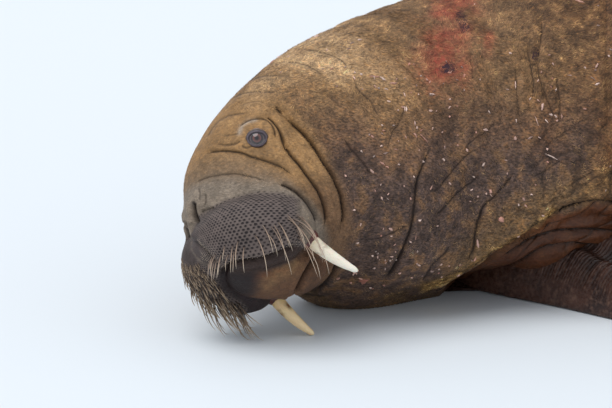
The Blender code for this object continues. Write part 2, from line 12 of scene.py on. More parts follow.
import bmesh
import bpy
import numpy as np
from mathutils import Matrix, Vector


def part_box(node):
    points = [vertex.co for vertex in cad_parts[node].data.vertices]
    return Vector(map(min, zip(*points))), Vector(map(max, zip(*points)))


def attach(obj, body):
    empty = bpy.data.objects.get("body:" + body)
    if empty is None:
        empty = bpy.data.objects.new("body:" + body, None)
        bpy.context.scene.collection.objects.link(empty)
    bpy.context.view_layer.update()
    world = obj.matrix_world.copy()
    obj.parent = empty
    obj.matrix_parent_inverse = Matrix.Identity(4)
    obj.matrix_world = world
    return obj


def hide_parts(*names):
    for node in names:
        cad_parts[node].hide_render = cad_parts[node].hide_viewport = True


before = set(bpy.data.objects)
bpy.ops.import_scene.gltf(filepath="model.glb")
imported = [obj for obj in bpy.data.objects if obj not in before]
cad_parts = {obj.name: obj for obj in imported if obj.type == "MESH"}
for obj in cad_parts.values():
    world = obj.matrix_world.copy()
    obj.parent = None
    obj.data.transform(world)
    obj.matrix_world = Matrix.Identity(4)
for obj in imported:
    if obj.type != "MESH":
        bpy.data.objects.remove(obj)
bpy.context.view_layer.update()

# %% [markdown]
# ## The body as numbers
# A spine runs from the tail to the head. Each of its rows has a place, a half width, how far the
# body rises above it and drops below it, and how much of the head's roll it has. Rounded masses
# such as shoulders, nape, cheeks and nose are blended with the swept body. This is how a
# sculptor blocks out an animal: the axis first, then the big forms.

# %% The spine and the masses
HEAD_CENTRE = np.array((-0.049, -0.322, 0.202))
HEAD_TURN = math.radians(40.3)
HEAD_DIP = math.radians(8.1)
HEAD_ROLL = math.radians(48.7)
FULLNESS = 2.5
SPINE = np.array([
    (1.736, 0.010, 0.052, 0.036, 0.028, 0.045, 0.0),
    (1.628, 0.012, 0.084, 0.105, 0.068, 0.090, 0.0),
    (1.484, 0.025, 0.122, 0.165, 0.118, 0.130, 0.0),
    (1.304, 0.045, 0.160, 0.228, 0.176, 0.185, 0.0),
    (1.064, 0.055, 0.198, 0.285, 0.222, 0.230, 0.0),
    (0.800, 0.050, 0.222, 0.308, 0.248, 0.255, 0.0),
    (0.570, 0.030, 0.230, 0.300, 0.258, 0.262, 0.0),
    (0.390, -0.010, 0.230, 0.275, 0.252, 0.258, 0.05),
    (0.250, -0.075, 0.226, 0.240, 0.236, 0.250, 0.2),
    (0.130, -0.155, 0.218, 0.196, 0.213, 0.235, 0.5),
    (0.035, -0.247, 0.212, 0.165, 0.175, 0.195, 0.85),
    (-0.049, -0.322, 0.202, 0.100, 0.100, 0.100, 1.0),
])
LAST = len(SPINE) - 1
# Centre, long direction, half sizes (long, across, up) and blend
BODY_MASSES = [
    ((0.055, -0.150, 0.266), (1, 0.62, 0.22), (0.190, 0.126, 0.106), 0.09),  # nape
    ((0.055, -0.192, 0.105), (1, 0.55, 0), (0.120, 0.094, 0.115), 0.06),     # throat
    ((0.370, -0.195, 0.170), (1, 0, 0.15), (0.150, 0.095, 0.140), 0.07),     # left shoulder
    ((0.370, 0.170, 0.170), (1, 0, 0.15), (0.150, 0.095, 0.140), 0.07),      # right shoulder
    ((1.340, -0.085, 0.120), (1, 0.12, 0), (0.230, 0.110, 0.110), 0.06),     # left hip
    ((1.340, 0.160, 0.120), (1, -0.2, 0), (0.230, 0.110, 0.110), 0.06),      # right hip
]
# Place in the head's axes (forward, left, up), long direction, up direction, half sizes, blend
LEVEL = (1, 0, 0)
HEAD_MASSES = [
    ((-0.060, 0, 0.045), LEVEL, (0, 0, 1), (0.140, 0.122, 0.118), 0.05),       # braincase
    ((0.035, 0, 0.025), LEVEL, (0, 0, 1), (0.100, 0.080, 0.083), 0.05),        # brow
    ((0.112, 0, 0.000), LEVEL, (0, 0, 1), (0.056, 0.046, 0.045), 0.03),        # nose
    ((-0.020, 0, -0.060), LEVEL, (0, 0, 1), (0.110, 0.095, 0.085), 0.05),      # throat
    ((0.010, 0.052, -0.050), LEVEL, (0, 0, 1), (0.085, 0.050, 0.070), 0.05),   # left cheek
    ((0.010, -0.052, -0.050), LEVEL, (0, 0, 1), (0.085, 0.050, 0.070), 0.05),  # right cheek
]
JAW = ((0.084, 0, -0.122), (0.943, 0, 0.333), (-0.333, 0, 0.943), (0.081, 0.051, 0.034), 0.006)
# The near pad droops a little further over the lip than its solid
PAD_CENTRES = {1: (0.115, 0.054, -0.0705), -1: (0.115, 0.054, -0.069)}
PAD_SIZES = {1: np.array((0.093, 0.055, 0.0540)), -1: np.array((0.093, 0.055, 0.052))}
PAD_ALONG = (-0.72, 0.52, -0.44)
PAD_UP = (0, -0.25, 1)
PAD_BLEND = 0.018
COAT_DEPTH = 0.0015                 # the skin lies this far inside the solids


def unit(vectors):
    """The directions of vectors along the last axis, each of length 1."""
    vectors = np.asarray(vectors, float)
    return vectors / np.maximum(np.linalg.norm(vectors, axis=-1, keepdims=True), 1e-12)


def head_axes():
    """The head's forward, left and up directions as rows, turned, dipped and rolled."""
    level = math.cos(HEAD_DIP)
    forward = np.array([-level * math.cos(HEAD_TURN), -level * math.sin(HEAD_TURN), -math.sin(HEAD_DIP)])
    side = np.array([math.sin(HEAD_TURN), -math.cos(HEAD_TURN), 0])
    crown = np.cross(forward, side)
    left = side * math.cos(HEAD_ROLL) + crown * math.sin(HEAD_ROLL)
    up = crown * math.cos(HEAD_ROLL) - side * math.sin(HEAD_ROLL)
    return np.stack([forward, left, up])


AXES = head_axes()


def head_point(place, side=1):
    """A place in the head's axes as a point of the layout, mirrored for side -1."""
    forward, left, up = place
    return HEAD_CENTRE + forward * AXES[0] + left * side * AXES[1] + up * AXES[2]


def head_direction(direction, side=1):
    """A direction in the head's axes as one of the layout, mirrored for side -1."""
    forward, left, up = unit(direction)
    return forward * AXES[0] + left * side * AXES[1] + up * AXES[2]


def axes_along(along, up):
    """Three perpendicular rows: along, across and up."""
    first = unit(along)
    up = np.asarray(up, float)
    third = unit(up - first * (first @ up))
    return np.stack([first, np.cross(third, first), third])


def pad_axes(side):
    """A whisker pad's long, outer and up directions."""
    along = head_direction(PAD_ALONG, side)
    return axes_along(along, head_direction(PAD_UP, side)) * np.array((1, -side, 1))[:, None]


def list_masses():
    """Every rounded mass as centre, axes, half sizes and blend, in the order they are blended."""
    found = []
    for centre, along, sizes, blend in BODY_MASSES:
        found.append((np.array(centre), axes_along(along, (0, 0, 1)), np.array(sizes), blend))
    for place, along, up, sizes, blend in HEAD_MASSES:
        axes = axes_along(head_direction(along), head_direction(up))
        found.append((head_point(place), axes, np.array(sizes), blend))
    for side in (1, -1):
        found.append((head_point(PAD_CENTRES[side], side), pad_axes(side), PAD_SIZES[side], PAD_BLEND))
    place, along, up, sizes, blend = JAW
    axes = axes_along(head_direction(along), head_direction(up))
    found.append((head_point(place), axes, np.array(sizes), blend))
    return found


MASSES = list_masses()
EYE_CENTRE = (0.0375, 0.0955, 0.051)
eye_low, eye_high = (np.array(corner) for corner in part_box("eye_left"))
# The solids' frame has its origin under the middle of the whole model
SHIFT = (eye_low + eye_high) / 2 - head_point(EYE_CENTRE)
SHIFT[2] = 0
print("shift from the layout to the frame", SHIFT.round(5))

# %% [markdown]
# ## The camera first
# The picture was taken with a long lens from a little above the animal, square to its flank. A
# camera 12 m away with a narrow view flattens the perspective in the same way. With the camera
# settled, a point of the skin can be found in the picture, and that is how the folds below are
# drawn: as lines in the picture, pressed into the skin that they fall on.

# %% Camera
PIXEL = 0.00155                     # metres across one pixel of the picture at the walrus
PICTURE = (612, 408)
FLOOR_LINE = 266.6                  # pixels down to the floor under the spine's origin
ELEVATION = math.radians(15)
DISTANCE = 12.0
look_along = np.array((0, math.cos(ELEVATION), -math.sin(ELEVATION)))
picture_up = np.array((0, math.sin(ELEVATION), math.cos(ELEVATION)))
target = np.array((0, 0, (FLOOR_LINE - PICTURE[1] / 2) * PIXEL / math.cos(ELEVATION)))
camera_place = target - look_along * DISTANCE


def put_in_scene(name, data):
    """An object with this mesh, light or camera, in the scene."""
    thing = bpy.data.objects.new(name, data)
    bpy.context.scene.collection.objects.link(thing)
    return thing


lens = bpy.data.cameras.new("camera")
lens.sensor_width = 36
lens.lens = lens.sensor_width * DISTANCE / (PICTURE[0] * PIXEL)
camera = put_in_scene("camera", lens)
camera.location = camera_place + SHIFT
camera.rotation_euler = (math.pi / 2 - ELEVATION, 0, 0)
bpy.context.scene.camera = camera


def to_picture(points):
    """Where points of the layout fall in the picture, in its pixels, right and down."""
    from_camera = points - camera_place
    depth = from_camera @ look_along
    scale = DISTANCE / PIXEL / depth
    return PICTURE[0] / 2 + from_camera[..., 0] * scale, PICTURE[1] / 2 - (from_camera @ picture_up) * scale


# %% [markdown]
# ## Casting the skin
# From each spine point, rays go out all round, and each ray stops at the outermost place where it
# leaves the blend of section and masses. The blend is a smooth minimum of distances: where two
# forms are closer than the blend width, the surface rounds over between them. Past the last
# spine point the rays fan forward over the face, up to the tip of the nose.

# %% The skin's formula
def smooth_step(share):
    """0 below 0, 1 above 1 and an S-shaped ramp between."""
    share = np.clip(share, 0, 1)
    return share * share * (3 - 2 * share)


def ramp(value, start, width):
    """0 at the start, 1 after the width and an S between. A negative width runs the other way."""
    return smooth_step((value - start) / width)


def bell(value, width):
    """1 at zero, falling off on both sides like a bell."""
    return np.exp(-(value / width)**2)


def spine_rows(t):
    """The spine's rows at stations t, on a Catmull-Rom curve through the table."""
    i = np.clip(np.floor(t).astype(int), 0, LAST - 1)
    f = (t - i)[:, None]
    start, end = SPINE[i], SPINE[i + 1]
    before = np.where((i > 0)[:, None], SPINE[np.maximum(i - 1, 0)], 2 * start - end)
    after = np.where((i < LAST - 1)[:, None], SPINE[np.minimum(i + 2, LAST)], 2 * end - start)
    leave, arrive = (end - before) / 2, (after - start) / 2
    return ((2 * f**3 - 3 * f**2 + 1) * start + (f**3 - 2 * f**2 + f) * leave
            + (3 * f**2 - 2 * f**3) * end + (f**3 - f**2) * arrive)


def spine_frames(t):
    """Rows of the spine with its forward, left and up directions, which roll towards the head."""
    row = spine_rows(t)
    step = 0.001
    ahead = spine_rows(np.minimum(t + step, LAST))[:, :3] - spine_rows(np.maximum(t - step, 0))[:, :3]
    forward = unit(ahead)
    side = unit(np.cross((0, 0, 1.0), forward))
    crown = np.cross(forward, side)
    roll = (row[:, 6] * HEAD_ROLL)[:, None]
    left = side * np.cos(roll) + crown * np.sin(roll)
    share = smooth_step((t - (LAST - 2)) / 2)[:, None]
    forward = unit(forward * (1 - share) + AXES[0] * share)
    left = left * (1 - share) + AXES[1] * share
    left = unit(left - forward * np.sum(forward * left, 1)[:, None])
    return row, forward, left, np.cross(forward, left)


def distance_to_mass(points, mass):
    """About how far the points are outside an ellipsoid."""
    centre, axes, sizes, _ = mass
    local = (points - centre) @ axes.T / sizes
    near = np.sqrt(np.einsum("...i,...i", local, local))
    local /= sizes
    slope = np.sqrt(np.einsum("...i,...i", local, local))
    return near * (near - 1) / np.maximum(slope, 1e-9)


def outside(points, radius, section, masses):
    """How far the points are outside the blend of the section and the masses."""
    distance = radius - section
    for mass in masses:
        other = distance_to_mass(points, mass)
        blend = mass[3]
        mixed = np.maximum(blend - np.abs(distance - other), 0) / blend
        distance = np.minimum(distance, other) - mixed * mixed * blend / 4
    return distance


ARMPIT_TUCKS = [
    ([(0.203, 0.035), (0.286, 0.104), (0.376, 0.164), (0.440, 0.181), (0.530, 0.155), (0.640, 0.040)], 0.030),
    ([(0.252, 0.035), (0.317, 0.067), (0.398, 0.112), (0.464, 0.101), (0.540, 0.040)], 0.010),
]


def tuck_depth(points):
    """How far the flank is tucked in under the folds above the root of each fore flipper."""
    x, z = points[..., 0], points[..., 2]
    depth = np.zeros(x.shape)
    for line, tuck in ARMPIT_TUCKS:
        xs, zs = np.array(line).T
        end = np.clip((x - xs[0]) / 0.03, 0, 1) * np.clip((xs[-1] - x) / 0.03, 0, 1)
        steep = np.hypot(1, np.interp(x, xs, np.gradient(zs, xs)))
        below = (np.interp(x, xs, zs) - z) / steep
        depth += tuck * np.clip(below / 0.035, 0, 1) * end
    return depth


BATCH = 6                           # rows cast at a time
HALVINGS = 14
FACE_REACH, BODY_REACH = (0.27, 36), (0.50, 45)    # how far out rays are tried, in how many steps


def cast_skin(stations, latitudes, turn):
    """The skin's points where the rays leave it, for turns of shape (rows, columns)."""
    row, forward, left, up = spine_frames(stations)
    points = np.zeros(turn.shape + (3,))
    for first in range(0, len(stations), BATCH):
        part = slice(first, first + BATCH)
        angle, rise = turn[part], latitudes[part][:, None, None]
        ring = left[part][:, None] * np.cos(angle)[..., None] + up[part][:, None] * np.sin(angle)[..., None]
        rays = ring * np.cos(rise) + forward[part][:, None] * np.sin(rise)
        over = np.sin(angle) > 0
        wide = row[part, 3][:, None]
        tall = np.where(over, row[part, 4][:, None], row[part, 5][:, None])
        power = np.where(over, 2.0, FULLNESS)
        section = (np.abs(np.cos(angle)) / wide)**power + (np.abs(np.sin(angle)) / tall)**power
        section = section**(-1 / power)
        start = row[part][:, None, :3]
        reach, count = FACE_REACH if latitudes[part].min() > 0 else BODY_REACH
        masses = [mass for mass in MASSES
                  if np.linalg.norm(row[part, :3] - mass[0], axis=1).min() < reach + mass[2].max()]
        inner = np.zeros(section.shape)
        outer = np.full(section.shape, reach)
        found = np.zeros(section.shape, bool)
        steps = np.linspace(reach, 0, count)
        for above, below in zip(steps[:-1], steps[1:]):
            hit = (outside(start + rays * below, below, section, masses) < 0) & ~found
            outer[hit] = above
            inner[hit] = below
            found |= hit
            if found.all():
                break
        for _ in range(HALVINGS):
            radius = (inner + outer) / 2
            within = outside(start + rays * radius[..., None], radius, section, masses) < 0
            inner = np.where(within, radius, inner)
            outer = np.where(within, outer, radius)
        radius = (inner + outer) / 2 - COAT_DEPTH
        radius = radius - tuck_depth(start + rays * radius[..., None])
        points[part] = start + rays * radius[..., None]
    return points


# %% [markdown]
# ## Where the grid is fine
# The grid has about five hundred rows and two hundred columns, near the most one piece should
# have. They aren't spread evenly: the face has a row each millimetre or so, and in each row the
# columns crowd towards the folds, the eye and the mouth. A coarse skin is cast first, each of
# its points is given a weight, and the columns are placed so that each has an equal share of it.

# %% Rows and columns
ROW_RUNS = [                        # station or latitude (degrees) from, to, and how many rows
    ("tip", -90, 0, 7),
    ("body", 0, 2, 26),
    ("body", 2, 5.7, 78),
    ("body", 5.7, 8, 104),
    ("body", 8, 9.6, 74),
    ("body", 9.6, 11, 88),
    ("face", 0, 90, 136),
]
COLUMNS = 190
SEAM_TURN = -math.pi / 2 - 0.6      # the columns start low on the right side


def place_rows():
    """Stations and latitudes of every row."""
    stations, latitudes = [], []
    for kind, start, end, count in ROW_RUNS:
        places = np.linspace(start, end, count, endpoint=False)
        if kind == "tip":
            places = places + (end - start) / count / 2
        along = places if kind == "body" else np.full(count, 0 if kind == "tip" else LAST)
        stations += list(along)
        latitudes += list(np.zeros(count) if kind == "body" else np.radians(places))
    latitudes[-1] = math.radians(89.6)
    return np.array(stations, float), np.array(latitudes, float)


stations, latitudes = place_rows()
print("rows", len(stations), "columns", COLUMNS, "triangles", 2 * len(stations) * COLUMNS)

# %% [markdown]
# ## Folds drawn in the picture
# Each fold is a line of places in the picture, with how deep it is and how wide, in millimetres.
# A walrus folds where the hide bends: behind the jaw, round the eye, over the armpit. A fold is
# pressed in along its line, with the hide swelling a little on both sides, and it fades out at
# its ends. The far side of the animal gets the same folds mirrored.

# %% The lines
FOLDS = [                           # depth, half width, then the places
    (7.5, 3.2, [(276, 107), (284, 114), (294, 125), (303, 133), (309, 140), (317, 151), (323, 161),
                (331, 173), (336, 183), (341, 195), (343, 206), (344, 217), (342, 228), (338, 241)]),
    (4.0, 3.0, [(274, 105), (278, 110), (283, 114)]),                                  # ear slit
    (6.0, 2.8, [(281, 134), (286, 146), (291, 155), (299, 164), (304, 171), (310, 179), (317, 189),
                (322, 199), (325, 210), (326, 222), (323, 234)]),
    (5.0, 2.6, [(274, 181), (283, 185), (292, 189), (300, 195), (307, 202), (312, 209), (316, 217),
                (318, 229)]),
    (1.4, 2.4, [(189, 186), (206, 178), (231, 174), (251, 177), (270, 182)]),
    (3.0, 2.6, [(198, 156.5), (211, 151.5), (227, 150.5), (240, 152.5), (251, 156.5), (263, 160), (278, 165),
                (290, 173), (298, 182)]),
    (4.0, 2.4, [(262, 114), (271, 120), (278, 129), (282, 138), (285, 148), (288, 155)]),
    (2.6, 2.0, [(238, 131), (241, 125), (247, 121), (256, 118.5), (265, 120), (272, 126), (275, 135),
                (274, 144)]),
    (1.5, 3.0, [(240, 144), (246, 149), (255, 151), (264, 149), (272, 144)]),
    (1.6, 2.2, [(204, 142), (213, 126), (226, 116), (243, 113), (256, 112)]),
    (2.2, 2.4, [(222, 106), (233, 97), (246, 92), (263, 91), (282, 92)]),
    (1.6, 2.6, [(246, 82), (262, 76), (280, 75), (297, 78)]),
    (1.8, 2.8, [(296, 48), (318, 50), (338, 57), (352, 68)]),
    (1.8, 2.8, [(280, 62), (297, 62), (314, 68), (326, 78)]),
    (1.3, 1.8, [(244, 141), (236, 144), (226, 145), (214, 143)]),
    (1.0, 1.6, [(242, 135), (233, 134), (222, 137)]),
    (1.0, 2.2, [(236, 106), (246, 103), (258, 101), (268, 103)]),
    (9.0, 3.2, [(318, 253), (312, 263), (308, 270), (303, 279), (298, 289), (294, 298)]),
    (6.5, 3.0, [(338, 258), (336, 267), (331, 277), (323, 286), (314, 292)]),
    (3.0, 2.6, [(298, 293), (312, 296), (328, 297)]),
    (10.0, 3.2, [(194, 202), (193.5, 208), (195, 215), (198, 223)]),                   # nostrils
    (8.0, 2.8, [(184, 221), (186, 230), (189, 240)]),
    (2.0, 2.0, [(200, 213), (207, 209), (216, 207)]),
    (1.2, 1.6, [(205, 192), (206, 200), (204, 209)]),
    (1.0, 1.6, [(198, 186), (200, 194), (199, 202)]),
    (3.5, 5.0, [(189, 240), (196, 243), (205, 251), (214, 261), (222, 270)]),          # between the pads
    (5.0, 2.8, [(434, 140), (427, 158), (421, 172), (417, 186), (415, 206), (411, 228), (406, 242),
                (400, 256), (390, 273), (378, 292)]),                                  # neck
    (2.6, 2.4, [(478, 148), (470, 153), (460, 163), (450, 175), (440, 187), (430, 196)]),
    (2.8, 2.4, [(480, 172), (473, 182), (462, 190), (452, 200), (440, 213), (434, 220)]),
    (3.6, 2.6, [(518, 168), (505, 185), (495, 197), (486, 205), (482, 212), (479, 222), (476, 235),
                (475, 246), (471, 257), (464, 268)]),
    (2.0, 2.4, [(564, 158), (550, 168), (540, 174), (530, 179)]),
    (2.6, 2.8, [(453, 243), (445, 254), (433, 265), (427, 276), (420, 289)]),
    (1.6, 2.6, [(362, 240), (380, 238), (398, 230), (409, 222)]),
    (1.6, 2.6, [(515, 62), (517, 90), (520, 122)]),
    (2.0, 3.0, [(555, 72), (559, 92), (560, 112), (556, 126)]),
    (2.4, 4.0, [(541, 16), (542, 34), (539, 50), (538, 64)]),
    (2.0, 3.0, [(498, 120), (486, 132), (474, 140), (462, 152)]),
    (1.6, 2.8, [(408, 100), (402, 118), (392, 134), (388, 150)]),
    (1.6, 2.8, [(600, 168), (586, 176), (570, 186), (558, 196)]),
    (1.8, 3.0, [(470, 55), (472, 68), (474, 82)]),
    (2.6, 5.0, [(536, 60), (541, 80), (548, 100), (557, 122)]),
    (3.0, 7.0, [(594, -62), (603, -30), (607, 10), (606, 50), (611, 85), (607, 128), (612, 160)]),
    (3.0, 8.0, [(676, -70), (690, -20), (697, 40), (692, 95), (700, 150)]),
    (2.6, 7.0, [(742, 60), (750, 110), (747, 160), (758, 215)]),
    (2.6, 6.0, [(905, 35), (914, 90), (910, 150), (920, 215)]),
    (3.4, 6.0, [(1120, 90), (1135, 125), (1140, 165), (1134, 205), (1140, 240)]),
    (3.4, 6.0, [(1168, 115), (1184, 150), (1190, 185), (1186, 225)]),
    (3.0, 5.0, [(1210, 140), (1222, 170), (1226, 200), (1222, 228)]),
    (4.0, 5.0, [(1080, 236), (1120, 226), (1165, 226), (1215, 236), (1262, 240)]),
    (2.4, 5.0, [(820, 232), (880, 222), (940, 228), (1010, 240)]),
    (2.0, 4.0, [(526, 40), (530, 62), (534, 82), (532, 102)]),
    (2.0, 3.0, [(342, 136), (352, 150), (364, 164), (374, 180)]),
    (1.6, 2.6, [(352, 70), (358, 88), (372, 102), (380, 120)]),
    (10.0, 4.2, [(440, 291), (455, 284), (470, 274), (495, 255), (512, 244), (528, 236), (540, 225),
                 (555, 215), (567, 208), (580, 204), (596, 203), (614, 204), (640, 209), (666, 222),
                 (690, 245), (706, 272)]),                                             # armpit
    (8.5, 3.2, [(488, 271), (498, 263), (510, 254), (522, 246), (534, 239), (548, 234), (562, 232),
                (585, 231), (614, 233), (640, 239), (664, 252), (680, 272)]),
    (9.0, 3.2, [(465, 291), (490, 281), (515, 269), (540, 253), (560, 247), (580, 246), (614, 250),
                (640, 258), (656, 273)]),
]
MOUTH = [(222, 277), (225, 270), (230, 265), (238, 262.5), (248, 261), (258, 260), (266, 258), (274, 255),
         (283, 251.5), (292, 248), (302, 245)]
MOUTH_DEPTH, MOUTH_WIDTH = 13.0, 3.4
DEEPEST = 0.014
CREASE_REACH = 0.011                # a crease's gap is kept this far from its line, in metres


def smooth_line(places, per_span=5):
    """A Catmull-Rom curve through the places."""
    places = np.asarray(places, float)
    ends = np.vstack([2 * places[0] - places[1], places, 2 * places[-1] - places[-2]])
    f = np.linspace(0, 1, per_span, endpoint=False)[:, None]
    spans = [0.5 * (2 * b + (c - a) * f + (2 * a - 5 * b + 4 * c - d) * f**2 + (3 * b - a - 3 * c + d) * f**3)
             for a, b, c, d in zip(ends[:-3], ends[1:-2], ends[2:-1], ends[3:])]
    return np.vstack(spans + [places[-1:]])


def to_line(places, line):
    """Distance from each place to a line, how far along it the nearest place is, and on which hand."""
    start, step = line[:-1], np.diff(line, axis=0)
    length = np.sqrt((step**2).sum(1))
    share = np.clip(((places[:, None] - start) * step).sum(-1) / length**2, 0, 1)
    gap = np.sqrt(((places[:, None] - start - share[..., None] * step)**2).sum(-1))
    best = gap.argmin(1)
    every = np.arange(len(places))
    before = np.cumsum(length) - length
    along = (before[best] + share[every, best] * length[best]) / length.sum()
    off = places - start[best]
    hand = np.where(step[best, 0] * off[:, 1] - step[best, 1] * off[:, 0] < 0, -1.0, 1.0)
    return gap[every, best], along, hand


END_FADE = 0.14                     # a fold fades out over this share of its length at each end


def press_line(across, down, places, depth, width, spacing=None):
    """How far one line presses the skin in, how strong its crease is, and the gap to it, signed by side."""
    pressed, shade, signed = np.zeros(across.shape), np.zeros(across.shape), np.ones(across.shape)
    line = smooth_line(places)
    width, depth = width / 1000, depth / 1000
    margin = 5 * width / PIXEL
    near = ((across > line[:, 0].min() - margin) & (across < line[:, 0].max() + margin)
            & (down > line[:, 1].min() - margin) & (down < line[:, 1].max() + margin))
    if near.any():
        gap, along, hand = to_line(np.stack([across[near], down[near]], -1), line)
        gap = gap * PIXEL
        fade = smooth_step(along / END_FADE) * smooth_step((1 - along) / END_FADE)
        wide = width if spacing is None else np.maximum(width, 0.8 * spacing[near])
        groove = np.exp(-(gap / wide)**1.6)
        swell = bell(gap - 2.4 * wide, 1.5 * wide)
        pressed[near] = depth * np.sqrt(width / wide) * fade * (groove - 0.3 * swell)
        shade[near] = smooth_step(1.6 * (1 - gap / CREASE_REACH)) * fade * min(1, 0.35 + depth / 0.006)
        signed[near] = (gap + 0.02 * (1 - fade)) * hand
    return pressed, shade, signed


def in_view(facing):
    """A mask of the skin that the camera sees, from how squarely it faces the camera."""
    return smooth_step(facing / 0.2 + 0.3)


def press_folds(points, facing):
    """Every fold's pressing, crease strength and signed gap at points that face the camera."""
    across, down = to_picture(points)
    steps = [np.linalg.norm(points - np.roll(points, 1, axis), axis=-1) for axis in (0, 1)]
    spacing = np.minimum(np.maximum(*steps), 0.012)
    pressed, shade = np.zeros(across.shape), np.zeros(across.shape)
    signed, second = np.ones(across.shape), np.ones(across.shape)
    for depth, width, places in FOLDS + [(MOUTH_DEPTH, MOUTH_WIDTH, MOUTH)]:
        more, darker, gap = press_line(across, down, places, depth, width, spacing)
        pressed += more
        closer = np.abs(gap) < np.abs(signed)
        second = np.where(closer, np.abs(signed), np.minimum(second, np.abs(gap)))
        signed = np.where(closer, gap, signed)
        shade = np.where(closer, darker * min(1, 4.5 / width)**2, shade)
    # Half way between two lines the gap changes sign, so the crease is left out there
    apart = second - np.abs(signed)
    shade *= np.maximum(smooth_step(apart / 0.009), 1 - smooth_step((np.abs(signed) - 0.0008) / 0.0012))
    seen = in_view(facing)
    return np.minimum(pressed, DEEPEST) * seen, shade * seen, signed


# %% [markdown]
# ## Placing the columns
# The weight of a place is its length along the row, raised near folds and eyes. Summing it along
# the row and reading the sum backwards gives columns of equal weight. The weights are first
# averaged with those of a few rows before and after, so that the columns run on smoothly.

# %% Columns by weight
EYE_LOOK = (0.55, 0.80, -0.24)
COARSE = 72
SPREAD = 5                          # the weights are averaged over this many rows on each side


def grid_normals(points):
    """Outward directions of a grid that closes on itself along its columns."""
    along = np.gradient(points, axis=0)
    around = np.roll(points, -1, 1) - np.roll(points, 1, 1)
    return unit(np.cross(around, along))


def facing_camera(points, normals):
    """How squarely the skin faces the camera, 1 where it looks straight at it."""
    return np.sum(normals * unit(camera_place - points), -1)


def eye_gap(points, side):
    """How far the points are from the middle of an eye."""
    return np.linalg.norm(points - head_point(EYE_CENTRE, side), axis=-1)


def mirror_columns(values, turn):
    """Values of a grid read at the mirrored place of each point, row by row."""
    mirrored = [np.interp(math.pi - angle, angle, value, period=2 * math.pi)
                for angle, value in zip(turn, values)]
    return np.array(mirrored)


coarse_turn = SEAM_TURN + np.arange(COARSE) * 2 * math.pi / COARSE + np.zeros((len(stations), 1))
coarse = cast_skin(stations, latitudes, coarse_turn)
coarse_normals = grid_normals(coarse)
coarse_facing = facing_camera(coarse, coarse_normals)
across, down = to_picture(coarse)
weight = np.full(coarse.shape[:2], 1.0) + 1.0 * smooth_step(coarse_facing / 0.3 + 0.5)
for depth, width, places in FOLDS + [(MOUTH_DEPTH, MOUTH_WIDTH, MOUTH)]:
    shade = press_line(across, down, places, depth, 2.5 * width)[1]
    weight += 2.2 * shade * in_view(coarse_facing) * min(1, depth / 4)
weight = np.maximum(weight, 0.8 * mirror_columns(weight, coarse_turn))
for side, most in ((1, 5), (-1, 4)):
    weight += most * np.exp(-(eye_gap(coarse, side) / 0.030)**4)
around = np.linalg.norm(np.roll(coarse, -1, 1) - coarse, axis=-1)
weight *= np.maximum(around, 0.15 * around.mean(1, keepdims=True))
padded = np.pad(weight, ((SPREAD, SPREAD), (0, 0)), mode="edge")
weight = np.mean([padded[i:i + len(weight)] for i in range(2 * SPREAD + 1)], axis=0)
total = np.concatenate([np.zeros((len(weight), 1)), np.cumsum(weight, axis=1)], axis=1)
total /= total[:, -1:]
edges = SEAM_TURN + np.arange(COARSE + 1) * 2 * math.pi / COARSE
shares = np.arange(COLUMNS) / COLUMNS
turn = np.array([np.interp(shares, row_total, edges) for row_total in total])
base = cast_skin(stations, latitudes, turn)
print("skin cast", base.shape, "lowest", base[..., 2].min().round(4))

# %% [markdown]
# ## Pressing the folds and adding flesh
# A living body is never as smooth as a blend of ellipsoids. Slow random lumps stand for flesh and
# blubber under the hide, and rings of shallow wrinkles cross the neck and back where it bends.
# Both come from value noise: random numbers on a lattice of cubes, blended between the corners.

# %% Noise
# A lattice turned askew to the body doesn't show as squares on its flanks
ASKEW = axes_along((1.0, 0.7, 0.5), (-0.6, 0.3, 1.0))
LATTICE = 32                        # cells along each side, after which the noise repeats


def value_noise(points, size, seed):
    """Smooth noise from -1 to 1 with lumps about as wide as size, in metres or in metres per axis."""
    if np.isscalar(size):
        points = points @ ASKEW
    table = np.random.default_rng(seed).uniform(-1, 1, (LATTICE,) * 3)
    places = points / np.asarray(size, float)
    corner = np.floor(places).astype(int)
    f = smooth_step(places - corner)
    total = np.zeros(points.shape[:-1])
    for offset in np.ndindex(2, 2, 2):
        share = np.prod(np.where(offset, f, 1 - f), axis=-1)
        total += share * table[tuple(np.moveaxis((corner + offset) % LATTICE, -1, 0))]
    return total


def slant_noise(points):
    """Noise drawn out along a slant up and back, whose zero lines are long thin wrinkles."""
    bent = points + 0.03 * np.stack([value_noise(points, 0.11, seed) for seed in (51, 52, 53)], -1)
    along = 0.64 * bent[..., 0] + 0.77 * bent[..., 2]
    across = 0.77 * bent[..., 0] - 0.64 * bent[..., 2]
    place = np.stack([along, across, bent[..., 1]], -1)
    return value_noise(place, (0.060, 0.016, 0.060), 54) + 0.35 * value_noise(place, (0.024, 0.010, 0.03), 55)


# %% Folds, rings and wrinkles
LUMPS = ((0.0022, 0.095, 1), (0.0012, 0.045, 2))    # height and width in metres, and the seed
RING_DEPTH, WRINKLE_DEPTH = 0.003, 0.0016
INSET = 0.0012                      # keeps the lumps inside the solids
MOUND_HEIGHT, MOUND_RADIUS, MOUND_WIDTH = 0.0048, 0.022, 0.010    # the swelling round each eye
normals = grid_normals(base)
facing = facing_camera(base, normals)
seen = in_view(facing)
station = stations[:, None]
pressed, shade, crease_gap = press_folds(base, facing)
pressed += mirror_columns(pressed, turn) * (1 - seen)
far_shade = mirror_columns(shade, turn) * (1 - seen)
crease_gap = np.where(far_shade > shade, mirror_columns(crease_gap, turn), crease_gap)
shade = np.maximum(shade, far_shade)

